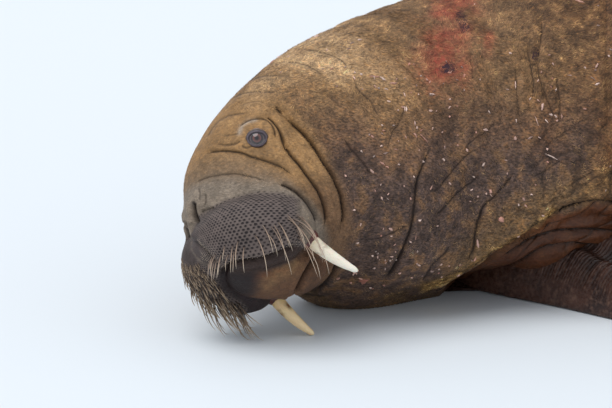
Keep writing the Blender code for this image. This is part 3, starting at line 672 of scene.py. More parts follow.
on_head = ramp(station, 9.2, 1.2)
ring_place = np.stack([station + 0 * turn, 0.35 * np.cos(turn), 0.35 * np.sin(turn)], -1)
rings = 1 - 2 * np.abs(value_noise(ring_place, (0.16, 0.22, 0.22), 3))
ringed = ramp(np.sin(turn), -0.5, 0.9) * ramp(station, 5, 1.5) * (1 - on_head)
ringed *= np.where(np.cos(turn) > 0, 0.35, 1)
ringed += 0.7 * ramp(station, 3.6, -1.6) * ramp(np.sin(turn), -0.8, 0.6)
relief = sum(high * value_noise(base, wide, seed) for high, wide, seed in LUMPS) * (1 - 0.65 * on_head)
relief -= RING_DEPTH * ringed * smooth_step(rings * 2.2 - 1.2)

slant_field = slant_noise(base)
wrinkled = ramp(station, 9.6, -0.6) * (0.35 + 0.65 * ramp(station, 4.8, 2.0)) + 0.4 * ramp(station, 2.8, -1.2)
wrinkled = wrinkled * (0.35 + 0.65 * ramp(base[..., 2], 0.37, -0.10))
wrinkled *= 0.35 + 0.65 * smooth_step(0.5 + 1.4 * value_noise(base, 0.09, 56))
wrinkled *= 0.5 + 0.5 * smooth_step(np.cos(turn) / 0.4 + 0.5)
relief -= WRINKLE_DEPTH * np.clip(1 - np.abs(slant_field) / 0.22, 0, 1) * wrinkled
relief -= INSET * (1 - on_head)
for side in (1, -1):
    relief += MOUND_HEIGHT * bell(eye_gap(base, side) - MOUND_RADIUS, MOUND_WIDTH)
points = base + normals * ((relief - pressed) * ramp(base[..., 2], 0.004, 0.03))[..., None]


# %% Sockets and throat
SOCKET_FLOOR = 0.0125               # radius of the skin behind the eyeball
SOCKET_MOUTH = 0.034                # no skin further from the eye's middle is drawn in


def sink_eye(points, side):
    """Draws the skin in behind the eyeball, inside the lids."""
    away = points - head_point(EYE_CENTRE, side)
    far = np.linalg.norm(away, axis=-1)
    angle = np.degrees(np.arccos(np.clip(away @ head_direction(EYE_LOOK, side) / far, -1, 1)))
    inside = (1 - ramp(angle, 42, 15)) * (far < SOCKET_MOUTH)
    return points - away * ((1 - SOCKET_FLOOR / np.maximum(far, SOCKET_FLOOR)) * inside)[..., None]


def spine_middle(xs):
    """The spine's y at each x."""
    return np.interp(xs, SPINE[::-1, 0], SPINE[::-1, 1])


for side in (1, -1):
    points = sink_eye(points, side)
# The throat rounds under before it meets the floor, most of all in front of the flipper
under = np.interp(points[..., 0], [0.02, 0.12, 0.21, 0.30, 0.37], [0, 0.026, 0.050, 0.045, 0])
under *= ramp(points[..., 2], 0.10, -0.10) * ramp(points[..., 1], spine_middle(points[..., 0]), -0.15)
points[..., 1] += under
points[..., 2] = np.maximum(points[..., 2], 0)
print("deepest fold", pressed.max().round(4), "lowest point", points[..., 2].min())


# %% The skin as one mesh
def grid_mesh(name, points, joined=False):
    """A smooth mesh of one grid of points or of several, each closed round its columns.

    Squares join each point to the next row and column. The first and last rows get an end face
    each, or are joined to one another. The faces are then turned outwards.
    """
    rows, columns = points.shape[-3:-1]
    i, j = np.meshgrid(np.arange(rows if joined else rows - 1), np.arange(columns), indexing="ij")
    below, after = (i + 1) % rows * columns, (j + 1) % columns
    squares = np.stack([i * columns + j, i * columns + after, below + after, below + j], -1).reshape(-1, 4)
    starts = np.arange(points.size // (3 * rows * columns))[:, None] * rows * columns
    faces = (squares + starts[..., None]).reshape(-1, 4).tolist()
    if not joined:
        faces += (starts + np.arange(columns)[::-1]).tolist()
        faces += (starts + (rows - 1) * columns + np.arange(columns)).tolist()
    mesh = bpy.data.meshes.new(name)
    mesh.from_pydata((points.reshape(-1, 3) + SHIFT).tolist(), [], faces)
    mesh.shade_smooth()
    build = bmesh.new()
    build.from_mesh(mesh)
    bmesh.ops.recalc_face_normals(build, faces=build.faces)
    build.to_mesh(mesh)
    build.free()
    return put_in_scene(name, mesh)


rows, columns = points.shape[:2]
skin = grid_mesh("skin", points)
skin_normals = grid_normals(points)
print("skin faces", len(skin.data.polygons))

# %% [markdown]
# ## Markings
# The hide is tan on the head and the top of the neck, darker and greyer low on the neck and
# shoulder, grey on the muzzle, and nearly black on the bare flippers, with painted shade in the
# folds. Some marks are painted light and shade: a paler crown and a browner lower head, each
# partly so, highlights on the shoulder, along the armpit fold and on the upper lid, light from
# the floor along the lower edge, and shade between the pads, under the mouth, in the nostrils
# and on the chin next to the pads. Each of these is a soft mask worked out at the skin's points,
# and the colours are mixed into one vertex colour that the skin and the coat share, so that both
# wear the same pattern. Places in the picture are in its pixels, all others are metres, and
# stations count along the spine.

# %% Colours
def linear(code):
    """A hex colour turned from sRGB to linear light."""
    part = np.array([int(code[i:i + 2], 16) for i in (0, 2, 4)]) / 255
    return np.where(part <= 0.04045, part / 12.92, ((part + 0.055) / 1.055)**2.4)


TAN, SAND_AND_TOP_LIGHT, OLIVE = linear("8f6d47"), linear("cba981"), linear("7f6042")
BROWN, DARK, RUSSET = linear("634937"), linear("54423a"), linear("5e3a20")
PALE_FLECK, DARK_FLECK = linear("7d5c3e"), linear("30231d")
RIM_LIGHT, SHOULDER_HIGHLIGHT = linear("94713e"), linear("87673f")
GREY, GREY_EDGE, HOOD_HIGHLIGHT = linear("8a7c6d"), linear("6f5f50"), linear("a89e92")
PAD_GREY, BETWEEN_PADS_SHADE = linear("4d423f"), linear("2c2022")
CHIN, RUST, JAW_TAN, JAW_DARK_AND_SHADE = linear("6a4a34"), linear("7a4a30"), linear("94704c"), linear("31241f")
LIP, MOUTH_SHADE = linear("241a1a"), linear("3a2a24")
ARMPIT, ROLL_TOP = linear("532d18"), linear("75452a")
RAW = "9c4334"
colours = np.zeros(base.shape) + TAN
across, down = to_picture(base)
local = (base - HEAD_CENTRE) @ AXES.T
ahead, aside, above = np.moveaxis(local, -1, 0)
slow = value_noise(base, (0.07, 0.07, 0.07), 11)
quick = value_noise(base, (0.022, 0.022, 0.022), 12)


def near_places(places, width):
    """A mask round a line in the picture, 1 on it and fading out over width pixels."""
    gap = to_line(np.stack([across.ravel(), down.ravel()], -1), np.asarray(places, float))[0]
    return bell(gap, width).reshape(across.shape)


def both_sides(mask):
    """A mask of the near side, with its mirror image where the camera doesn't see the skin."""
    return np.maximum(mask, mirror_columns(mask, turn) * (1 - seen))


def paint(tone, mask):
    """Takes the skin's colours towards a tone by a mask."""
    colours[:] += (tone - colours) * mask[..., None]


# %% The body's markings
# From the tan crown and nape down to the dark lower neck and shoulder, browner towards the rear
height = base[..., 2] + 0.035 * slow + 0.012 * quick
waver = (0.012 * slow + 0.006 * quick) * (1 - seen)
behind = smooth_step((-0.012 - ahead + waver) / (0.03 + 0.035 * (1 - seen))) * ramp(station, 5.0, 3.0)
front = ramp(base[..., 0] - 0.04 * slow, 0.20, -0.24)
rear = ramp(station - 0.7 * slow, 8.6, -1.9)
broad = value_noise(base, (0.20, 0.16, 0.12), 13)
# The crown is paler on top: partly its own sandy colour, partly painted rim light
paint(SAND_AND_TOP_LIGHT, ramp(height, 0.335, 0.08) * front)
# The head is browner low down: partly its own colour, partly painted shade
paint(BROWN, 0.95 * ramp(height, 0.285, -0.10) * ramp(ahead, 0.07, -0.06))
paint(OLIVE, 1 - front)
paint(BROWN, behind * ramp(height, 0.375, -0.09))
paint(DARK, behind * ramp(height, 0.315, -0.10) * (1 - 0.7 * rear))
paint(RUSSET, rear * np.clip(0.72 + 0.5 * broad, 0, 1))
paint(DARK, rear * 0.7 * ramp(base[..., 2] - 0.05 * broad, 0.11, -0.10))
paint(DARK, 0.6 * ramp(station - slow, 1.7, -1.2))
speckle = value_noise(base, 0.012, 15) + 0.6 * value_noise(base, 0.027, 16)
speckled = behind * (0.45 + 0.55 * ramp(height, 0.34, -0.08)) + 0.25 * rear
paint(PALE_FLECK, 0.60 * speckled * ramp(speckle, 0.12, 0.5))
paint(DARK_FLECK, 0.52 * speckled * ramp(-speckle, 0.12, 0.5))
# Painted light: a golden highlight along the ridge above the armpit fold, and light from the floor along the
# lower edge
rim_light = near_places([(425, 292), (440, 287), (470, 272), (500, 251), (530, 234), (552, 214)], 5.5)
rim_light *= seen * 0.95
rim_light = np.maximum(rim_light, 0.25 * ramp(height, 0.030, -0.02) * behind)
paint(RIM_LIGHT, rim_light * ramp(station, 6, 1.0))
# A painted highlight on the shoulder above the armpit fold
paint(SHOULDER_HIGHLIGHT, 0.45 * near_places([(470, 262), (505, 226), (545, 202), (612, 182)], 17) * seen)

# %% Muzzle, pads, chin and lips
MUZZLE_TILT = (0.8, -0.6)           # the grey's edge runs across this way, ahead and above
slope = MUZZLE_TILT[0] * ahead + MUZZLE_TILT[1] * above + 0.006 * slow
fore = ahead - 0.3 * (above + 0.1)
muzzle = ramp(slope + 0.003 * quick, 0.054, 0.028) * ramp(fore, 0.020, 0.02)
paint(GREY_EDGE, 0.6 * ramp(slope, 0.012, 0.05) * ramp(fore, 0.014, 0.025))
paint(GREY, muzzle * 0.92)
pad_gaps = [distance_to_mass(base, mass) for mass in MASSES[-3:-1]]
jaw_gap = distance_to_mass(base, MASSES[-1])
pad_gap = np.minimum(*pad_gaps)


def pad_angles(points, side):
    """Degrees from a pad's rear end, and degrees round its long axis, where points lie on a pad."""
    local = unit((points - head_point(PAD_CENTRES[side], side)) @ pad_axes(side).T / PAD_SIZES[side])
    from_end = np.arccos(np.clip(local[..., 0], -1, 1))
    return np.degrees(from_end), np.degrees(np.arctan2(local[..., 2], local[..., 1]))


pad_turn, pad_tilt = (np.where(aside > 0, left, right)
                      for left, right in zip(pad_angles(base, 1), pad_angles(base, -1)))
pad_mask = (1 - ramp(pad_gap + 0.002 * quick, 0, 0.010)) * ramp(pad_turn, 27, 16)
paint(PAD_GREY, pad_mask)
chin_mask = (1 - ramp(jaw_gap, 0.004, 0.02)) * ramp(ahead, 0.075, -0.02)
chin_mask = np.maximum(1 - ramp(jaw_gap, 0.001, 0.006), chin_mask)
paint(CHIN, chin_mask)
paint(RUST, chin_mask * near_places([(247, 279), (262, 276), (285, 270)], 4) * 0.6)
fleck = value_noise(base, (0.010, 0.010, 0.006), 14)
tan_jaw = near_places([(266, 284), (276, 274), (288, 270), (296, 264)], 8)
paint(JAW_TAN, chin_mask * tan_jaw * np.clip(0.55 + 0.7 * fleck, 0, 1))
# Dark flecks over the jaw, and painted shade at its left end next to the pads
jaw_shade = near_places([(226, 272), (234, 284), (250, 291)], 11)
paint(JAW_DARK_AND_SHADE, chin_mask * np.clip(0.75 * jaw_shade + 0.5 * fleck, 0, 1))
lip_mask = (1 - ramp(jaw_gap, 0.004, 0.016)) * ramp(pad_gap, 0.008, -0.008)
lip_mask = np.maximum(lip_mask, ramp(ahead, 0.120, 0.025) * chin_mask)
paint(LIP, lip_mask)
# Painted shade in the nostril slits
paint(LIP * 0.5, both_sides(near_places([(193.5, 203), (194, 208), (195.5, 215), (198, 222)], 2.4) * seen))

# %% Armpit, graze and the pattern of the pads
armpit = ramp(tuck_depth(base), 0, 0.012)
paint(ARMPIT, armpit * 0.85)
paint(ROLL_TOP, 0.6 * armpit * ramp(height, 0.115, 0.05))
graze = near_places([(462, -14), (450, 25), (440, 54), (446, 66)], 25) * seen
graze = graze + 0.8 * near_places([(488, 36), (487, 52)], 6) * seen
graze = np.clip(graze * (0.86 + 0.5 * slow + 0.6 * quick), 0, 1)
scab = near_places([(460, 14), (463, 20), (465, 27)], 6) + near_places([(444, 68), (452, 66)], 5.5)
scab = (scab + near_places([(535, 50), (536, 57)], 4)) * seen
# A painted highlight along the fold of the upper lid
paint(HOOD_HIGHLIGHT, 0.6 * both_sides(near_places([(240, 134), (242, 127), (248, 122.5), (255, 121)], 2.6) * seen))
colours *= (1 + 0.10 * slow + 0.10 * quick)[..., None]

# Painted shade on the near pad just under the mouth line
mouth_down = np.interp(across, *np.array(MOUTH).T, left=1000, right=1000)
lower_lip = ramp(down - mouth_down, -0.5, 3) * (aside > 0) * seen * ramp(pad_gaps[0], -0.02, 0.01) * pad_mask
paint(MOUTH_SHADE, 0.85 * lower_lip)
# Painted shade on the inner side of the far pad, between the pads
inside = ramp(across - 0.62 * (down - 262), 216, 5) * (aside < 0) * seen * ramp(down, 256, 6)
paint(BETWEEN_PADS_SHADE, 0.85 * inside * pad_mask)
pits = pad_mask * ramp(ahead, 0.03, 0.02) * (1 - lip_mask) * (1 - lower_lip) * (1 - inside)
line_near = bell(crease_gap, 0.003) * shade
furry = (1 - pad_mask) * (1 - muzzle * 0.7) * (1 - armpit) * (1 - line_near) * (1 - chin_mask)
scarred = ramp(ahead, -0.03, -0.05) * ramp(station, 5.2, 1.5) * (1 - armpit)
scarred = scarred * ramp(slow, -0.30, 0.5) * ramp(height, 0.46, -0.10)
scarred = np.maximum(scarred, 0.10 * rear) * ramp(height, 0.045, 0.03)

# Degrees round the pad: where the pattern starts, between its rows, and between the first
# whiskers of a row, from where the step grows by a share of itself at each whisker
FIRST_TURN, FIRST_TILT = 156, 46
ROW_STEP, FIRST_STEP, STEP_GROWTH = 5.4, 2.5, 0.036
# Where each point is on its pad's pattern: along the rows, and down across them
pattern = np.stack([np.log1p(np.maximum(FIRST_TURN - pad_turn, 0) * STEP_GROWTH / FIRST_STEP) / STEP_GROWTH,
                    (FIRST_TILT - pad_tilt) / ROW_STEP], -1)
pits *= ramp(pattern[..., 0], 0.1, 0.5)


# %% Writing them to the mesh
def write_values(thing, **values):
    """Stores a value or a colour for each point of a mesh, under each name."""
    for name, value in values.items():
        colour = value.size == 3 * len(thing.data.vertices)
        if colour:
            value = np.concatenate([value.reshape(-1, 3), np.ones((value.size // 3, 1))], 1)
        attribute = thing.data.attributes.new(name, "FLOAT_COLOR" if colour else "FLOAT", "POINT")
        attribute.data.foreach_set("color" if colour else "value", value.astype(np.float32).ravel())


def corner_points(thing):
    """The number of the point at each corner of each face."""
    corners = np.zeros(len(thing.data.loops), np.int32)
    thing.data.loops.foreach_get("vertex_index", corners)
    return corners


def write_uv(thing, name, places):
    """Stores a UV map from a place for each point of the mesh."""
    uv = places.reshape(-1, 2)[corner_points(thing)]
    thing.data.uv_layers.new(name=name).data.foreach_set("uv", uv.astype(np.float32).ravel())


def write_grid_uv(thing, name, rows, columns):
    """Unwraps a grid that closes on itself, so that its last column ends at the right edge."""
    corners = corner_points(thing)
    starts = np.zeros(len(thing.data.polygons), np.int32)
    thing.data.polygons.foreach_get("loop_start", starts)
    column = corners % columns
    most = np.repeat(np.maximum.reduceat(column, starts), np.diff(np.append(starts, len(corners))))
    column = np.where((most == columns - 1) & (column == 0), columns, column)
    uv = np.stack([0.01 + 0.98 * column / columns, 0.01 + 0.98 * (corners // columns) / (rows - 1)], -1)
    thing.data.uv_layers.new(name=name).data.foreach_set("uv", uv.astype(np.float32).ravel())


write_values(skin, marking=np.clip(colours, 0, 1), fold=shade, fold_gap=crease_gap * 1000, pits=pits,
             furry=furry, bare=np.maximum(armpit, lip_mask), grey=muzzle, graze=graze, scab=scab,
             rugged=0.42 + 0.58 * behind, slant=slant_field, wrinkled=wrinkled)
write_grid_uv(skin, "OFBake", rows, columns)
write_uv(skin, "whisker_rows", pattern)

# %% [markdown]
# ## The hide
# Walrus hide is thick leather under short, flat, coarse hair. What the eye sees is broad patches
# of colour, a coarse grain of brown, gold and nearly black, fine wrinkles that run slantwise on
# the neck, and thin dark lines down in the folds. Noise at three scales gives patches, mottling
# and grain. The wrinkles and the gap to the nearest fold are values that the mesh carries, and a
# dark line of painted shade is drawn where a value passes zero, so it stays sharp between points.
# The whisker pits get painted shade and the skin between them a painted highlight. The grain is
# drawn about 2.5 mm across, coarser than real hair, so that it shows.

# %% Nodes
def fill_sockets(tree, sockets, given):
    """Links or sets sockets by name or number. A text is a hex colour."""
    for name, value in given.items():
        if isinstance(value, bpy.types.NodeSocket):
            tree.links.new(value, sockets[name])
        else:
            sockets[name].default_value = (*linear(value), 1) if isinstance(value, str) else value


def add_node(tree, kind, *inputs, out=0, stops=(), **settings):
    """Adds a node with its settings and inputs, and gives one of its outputs.

    A kind in capitals is an operation of arithmetic. The inputs are values or sockets in order, or
    one dictionary of them. Stops are places and hex colours along a colour ramp.
    """
    if kind.isupper():
        kind, settings = "Math", {"operation": kind}
    made = tree.nodes.new("ShaderNode" + kind)
    for name, value in settings.items():
        setattr(made, name, value)
    named = inputs and isinstance(inputs[0], dict)
    fill_sockets(tree, made.inputs, inputs[0] if named else dict(enumerate(inputs)))
    if stops:
        for _ in stops[2:]:
            made.color_ramp.elements.new(0.5)
        for element, (position, code) in zip(made.color_ramp.elements, stops):
            element.position = position
            element.color = (*linear(code), 1)
    return made.outputs[out]


def set_shader(material, **sockets):
    """Links or sets sockets of the material's Principled shader."""
    tree = material.node_tree
    fill_sockets(tree, tree.nodes["Principled BSDF"].inputs,
                 {name.replace("_", " "): value for name, value in sockets.items()})


def start_material(name, **sockets):
    """A material with one Principled shader, and the function that adds nodes to it."""
    material = bpy.data.materials.new(name)
    material.use_nodes = True
    set_shader(material, **sockets)
    return material, functools.partial(add_node, material.node_tree)


# %% The hide's material
def whisker_gap(add):
    """How far a place is from the nearest whisker's pit, in steps of the pads' staggered rows."""
    rows_map = add("UVMap", uv_map="whisker_rows")
    along, row = (add("SeparateXYZ", rows_map, out=n) for n in (0, 1))
    row_number = add("FLOOR", add("ADD", row, 0.5))
    column = add("SUBTRACT", along, add("MULTIPLY", add("MODULO", row_number, 2.0), 0.5))
    column_off = add("SUBTRACT", column, add("ROUND", column))
    offset = add("CombineXYZ", add("MULTIPLY", column_off, 1.25), add("SUBTRACT", row, row_number))
    return add("VectorMath", offset, operation="LENGTH", out="Value")


def make_hide():
    """Leather under short hair: matt, marked by its own colours, with grain, painted shade in its folds,
    wrinkles and whisker pits, and a painted highlight between the pits.
    """
    material, add = start_material("short_haired_hide", Specular_IOR_Level=0.25)
    place = add("TexCoord", out="Object")
    colour = add("Attribute", attribute_name="marking", out="Color")
    fold, gap_to_fold, pits, furry, bare, grey, graze, scab, rugged, slant, wrinkled = (
        add("Attribute", attribute_name=name, out="Fac") for name in (
            "fold", "fold_gap", "pits", "furry", "bare", "grey", "graze", "scab", "rugged", "slant",
            "wrinkled"))
    # Lumps of 30, 8, 2.6, 4.2 and 3 mm, the last three drawn out along their first axis
    patches, mottle, grain, flecks, cracks = (
        add("TexNoise", {"Vector": add("Mapping", {"Vector": place, "Rotation": turn, "Scale": (
            1 / (size * stretch), 1 / size, 1 / size)}), "Scale": 1.0, "Detail": detail})
        for size, stretch, turn, detail in (
            (0.030, 1, (0, 0, 0), 4), (0.0080, 1, (0, 0, 0), 3), (0.0026, 1.8, (0, 0, 0), 2),
            (0.0042, 1.5, (0, 0, 0), 3), (0.0030, 2, (0, -0.3, 0.5), 2)))
    tone = add("MULTIPLY", add("MapRange", patches, 0.3, 0.7, 0.82, 1.18),
               add("MapRange", mottle, 0.3, 0.7, 0.78, 1.22))
    grainy = add("MULTIPLY", add("MapRange", furry, 0, 1, 0.35, 1.0), rugged)
    coarse_grain = add("MapRange", grain, 0.32, 0.68, 0.45, 1.6)
    tone = add("MULTIPLY", tone, add("Mix", {0: grainy, 2: 1.0, 3: coarse_grain}))
    shaded = add("VectorMath", colour, tone, operation="MULTIPLY")
    golden = add("VectorMath", shaded, (1.9, 1.5, 0.9), operation="MULTIPLY")
    gold = add("MULTIPLY", add("MULTIPLY", add("MapRange", flecks, 0.52, 0.64, 0.0, 0.35), furry), rugged)

    # Slanting wrinkles lie where their field passes zero, and the muzzle's finer ones in its grey, both
    # darkened with painted shade
    slanting = add("MULTIPLY", add("MapRange", add("ABSOLUTE", slant), 0.0, 0.16, 1.0, 0.0), wrinkled)
    fine = add("MapRange", add("ABSOLUTE", add("SUBTRACT", cracks, 0.5)), 0.0, 0.14, 1.0, 0.0)
    fine = add("MULTIPLY", fine, add("MULTIPLY", grey, add("SUBTRACT", 1.0, pits)))
    wrinkle = add("MAXIMUM", slanting, add("MULTIPLY", fine, 0.5))
    graze = add("MULTIPLY", graze, add("MapRange", mottle, 0.30, 0.58, 0.25, 1.25))
    graze = add("MULTIPLY", graze, add("MapRange", grain, 0.25, 0.6, 0.45, 1.0))
    scab = add("MULTIPLY", scab, add("MapRange", mottle, 0.3, 0.7, 0.5, 1.5))
    # Painted shade in the whisker pits, and a painted highlight on the skin between them
    gap = add("ADD", whisker_gap(add), add("MapRange", mottle, 0.3, 0.7, -0.13, 0.13))
    pit = add("MULTIPLY", add("MapRange", gap, 0.12, 0.31, 1.0, 0.0), pits)
    ridge_highlight = add("MULTIPLY", add("MapRange", gap, 0.34, 0.56, 0.0, 0.38), pits)

    # The fold's own dark line of painted shade: a narrow bell of the gap to it, in millimetres, with a soft
    # verge of painted shade
    wander = add("ADD", gap_to_fold, add("MapRange", mottle, 0.3, 0.7, -0.7, 0.7))
    line = add("EXPONENT", add("MULTIPLY", -0.45, add("MULTIPLY", wander, wander)))
    line = add("MULTIPLY", line, fold)
    verge = add("EXPONENT", add("MULTIPLY", -0.10, add("MULTIPLY", gap_to_fold, gap_to_fold)))
    deep = add("MULTIPLY", add("MULTIPLY", fold, fold), 0.6)
    crease_shade = add("MAXIMUM", line, add("MULTIPLY", verge, deep))
    # Layers: golden flecks, painted shade in the wrinkles, the graze, scabs, a painted highlight between the
    # whisker pits, painted shade in the pits and painted shade in the folds
    for share, over in ((gold, golden), (add("MULTIPLY", wrinkle, 0.6), "2b1f18"),
                        (add("MULTIPLY", graze, 0.85), RAW), (add("MapRange", scab, 0.35, 0.6), "3a2228"),
                        (ridge_highlight, "7c6e65"), (add("MULTIPLY", pit, 0.9), "130f0f"),
                        (add("MapRange", crease_shade, 0.05, 0.9, 0.0, 0.92), "1d130e")):
        shaded = add("Mix", {0: share, 6: shaded, 7: over}, data_type="RGBA", out=2)
    rough = add("SUBTRACT", add("MapRange", mottle, 0.3, 0.7, 0.58, 0.74), add("MULTIPLY", bare, 0.24))
    height = add("MULTIPLY", grain, add("MapRange", furry, 0, 1, 0.5, 1.3))
    for amount, part in ((-1.4, wrinkle), (-3.6, pit), (2.2, mottle), (-2.6, line)):
        height = add("ADD", height, add("MULTIPLY", part, amount))
    set_shader(material, Base_Color=shaded, Roughness=rough,
               Normal=add("Bump", {"Height": height, "Distance": 0.0008, "Strength": 0.9}))
    return material


skin.data.materials.append(make_hide())

# %% [markdown]
# ## Eyes and lids
# A walrus eye is small and dark, with a thick, wet, grey-purple rim. The ball is a sphere with a
# slight swelling for the cornea, given by its angle from the line of sight. The rim is a closed
# ring round an oval opening: its section starts on the ball, rolls over the margin and dives
# under the skin, so the crease where the two meet is the natural fold round the eye.

# %% Eyeballs and rims
EYE_RADIUS = 0.0172
CORNEA = 0.0007                     # how far the cornea swells out of the ball
LID_LINE = (-0.72, 0.40, -0.50)     # the long way of the opening, towards the back of the head
OPENING = (42, 31)                  # half angles of the opening, along and across
EYE_COLUMNS, RIM_COLUMNS = 64, 120
# The rim's section: degrees outside the opening, and millimetres from the ball's middle
RIM_SECTION = np.array([(-3, 16.4), (-1.0, 17.3), (0.5, 18.0), (2.5, 18.9), (5, 19.5), (8, 19.75), (11, 19.6),
                        (13.5, 19.25), (16, 19.3), (19, 19.6), (22, 19.5), (25, 19.0), (29, 18.0), (34, 16.5),
                        (30, 14.5), (16, 14.5), (4, 15.0)])


def full_turn(count):
    """Angles spread evenly round a circle."""
    return np.arange(count) * 2 * math.pi / count


def round_place(centre, axes, angle, spin, radius):
    """Points at an angle from an axis, turned round it by spin, at a radius from a centre."""
    across = np.cos(spin)[..., None] * axes[0] + np.sin(spin)[..., None] * axes[1]
    way = np.cos(angle)[..., None] * axes[2] + np.sin(angle)[..., None] * across
    return centre + radius[..., None] * way


def make_eye(side, label):
    """The eyeball, and the rim of its lids, which droops a little and has fine wrinkles."""
    centre = head_point(EYE_CENTRE, side)
    axes = axes_along(head_direction(LID_LINE, side), head_direction(EYE_LOOK, side))
    degrees = np.concatenate([np.linspace(0.5, 40, 28), np.linspace(46, 179.5, 18)])
    spin, angle = np.meshgrid(full_turn(EYE_COLUMNS), np.radians(degrees))
    cornea = CORNEA * (1 - smooth_step(np.degrees(angle) / 34))
    eye = grid_mesh("eyeball_" + label, round_place(centre, axes, angle, spin, EYE_RADIUS + cornea))
    write_uv(eye, "from_sight", np.stack([spin / (2 * math.pi), angle / math.pi], -1))

    spin = full_turn(RIM_COLUMNS)
    section, outwards = RIM_SECTION[:, :1], RIM_SECTION[:, 1:] / 1000
    oval = 1 / np.hypot(np.cos(spin) / OPENING[0], np.sin(spin) / OPENING[1])
    angle = np.radians(oval * (1 - 0.16 * bell(spin - math.pi / 2, 0.9)) + section)
    wrinkle = 0.00022 * np.sin(9 * spin + 1.7 * np.sin(2 * spin)) * bell(section - 14, 9)
    spin = spin + 0 * angle
    ring = round_place(centre, axes, angle, spin, outwards + wrinkle)
    rim = grid_mesh("lid_rim_" + label, ring, joined=True)
    write_uv(rim, "round_rim", np.stack([spin / (2 * math.pi), (section + 3) / 37 + 0 * angle], -1))
    return eye, rim


# %% Wet eyes and lid skin
def make_eye_material():
    """A wet eye: nearly black pupil, dark brown iris, and a clear coat that catches the light."""
    material, add = start_material("wet_eye", Roughness=0.06, Coat_Weight=1.0, Coat_Roughness=0.03, IOR=1.38)
    from_sight = add("SeparateXYZ", add("UVMap", uv_map="from_sight"), out=1)
    rays = add("TexNoise", {"Vector": add("TexCoord", out="Object"), "Scale": 1 / 0.0018, "Detail": 2})
    angle = add("ADD", add("MULTIPLY", from_sight, 180.0), add("MapRange", rays, 0, 1, -2.0, 2.0))
    set_shader(material, Base_Color=add("ValToRGB", add("DIVIDE", angle, 60.0), stops=(
        (0.0, "0b0808"), (0.12, "0d0908"), (0.18, "4a2a22"), (0.33, "6b4038"), (0.40, "2a1a1a"),
        (0.47, "1d1517"), (0.62, "5a4a48"), (1.0, "7a625c"))))
    return material


def make_rim_material():
    """Bare wet lid skin: purple-grey, darker at the margin, with fine rings."""
    material, add = start_material("wet_lid_skin", Roughness=0.38)
    place = add("TexCoord", out="Object")
    outwards = add("SeparateXYZ", add("UVMap", uv_map="round_rim"), out=1)
    rings = add("ValToRGB", outwards, stops=(
        (0.0, "1d1517"), (0.13, "33272b"), (0.25, "5c5057"), (0.36, "483d42"), (0.46, "2c2223"),
        (0.60, "635042"), (0.80, "7d6349")))
    mottle, grain = (add("TexNoise", {"Vector": place, "Scale": 1 / size, "Detail": 2})
                     for size in (0.0018, 0.0012))
    tone = add("MapRange", mottle, 0.3, 0.7, 0.8, 1.2)
    set_shader(material, Base_Color=add("VectorMath", rings, tone, operation="MULTIPLY"),
               Normal=add("Bump", {"Height": grain, "Distance": 0.0004, "Strength": 0.7}))
    return material


SIDES = ((1, "left"), (-1, "right"))
pieces = []                         # each piece with the solids it replaces and its slot
eye_material, rim_material = make_eye_material(), make_rim_material()


def add_piece(thing, material, nodes, slot):
    """Gives a piece its material and puts it on the list for the hand-over."""
    thing.data.materials.append(material)
    pieces.append((thing, nodes, slot))


for side, label in SIDES:
    eye, rim = make_eye(side, label)
    add_piece(eye, eye_material, ["eye_" + label], "eye")
    add_piece(rim, rim_material, [], "hide")

# %% [markdown]
# ## Tusks
# A young walrus's tusks are short, smooth pegs of ivory, oval in section, cream with a yellower
# root and fine cracks along them. Each is a profile carried along a slightly bowed line. A dark
# red collar of gum hugs each root.

# %% Tusks and gums
TUSK_ROOT = (0.060, 0.074, -0.106)
TUSK_GUM = (0.054, 0.077, -0.125)
TUSK_TIP = (0.025, 0.088, -0.206)
TUSK_SHARES = {1: 1.0, -1: 0.93}    # the right tusk is worn a little shorter
GUM_SHARES = {1: 1.0, -1: 0.86}     # and its gum is narrower
TUSK_BOW = 0.004
TUSK_RADIUS = 0.0112
TUSK_SQUASH = 0.94                  # the section's width over its length
TUSK_COLUMNS = 40
BLUNT_FROM = 0.86                   # the tip rounds off from this share of the length


def carry_profile(line, radii, around, squash, up, flutes):
    """Rings of points round a line, with a radius for each place and a flattened, fluted section."""
    step = unit(np.gradient(line, axis=0))
    side = unit(np.cross(step, up))
    other = np.cross(step, side)
    spin = full_turn(around)
    wave = 1 + flutes * (np.sin(7 * spin + 1) + 0.6 * np.sin(13 * spin + 2))
    ring = np.cos(spin)[None, :, None] * side[:, None] + squash * np.sin(spin)[None, :, None] * other[:, None]
    return line[:, None] + (radii[:, None] * wave)[..., None] * ring


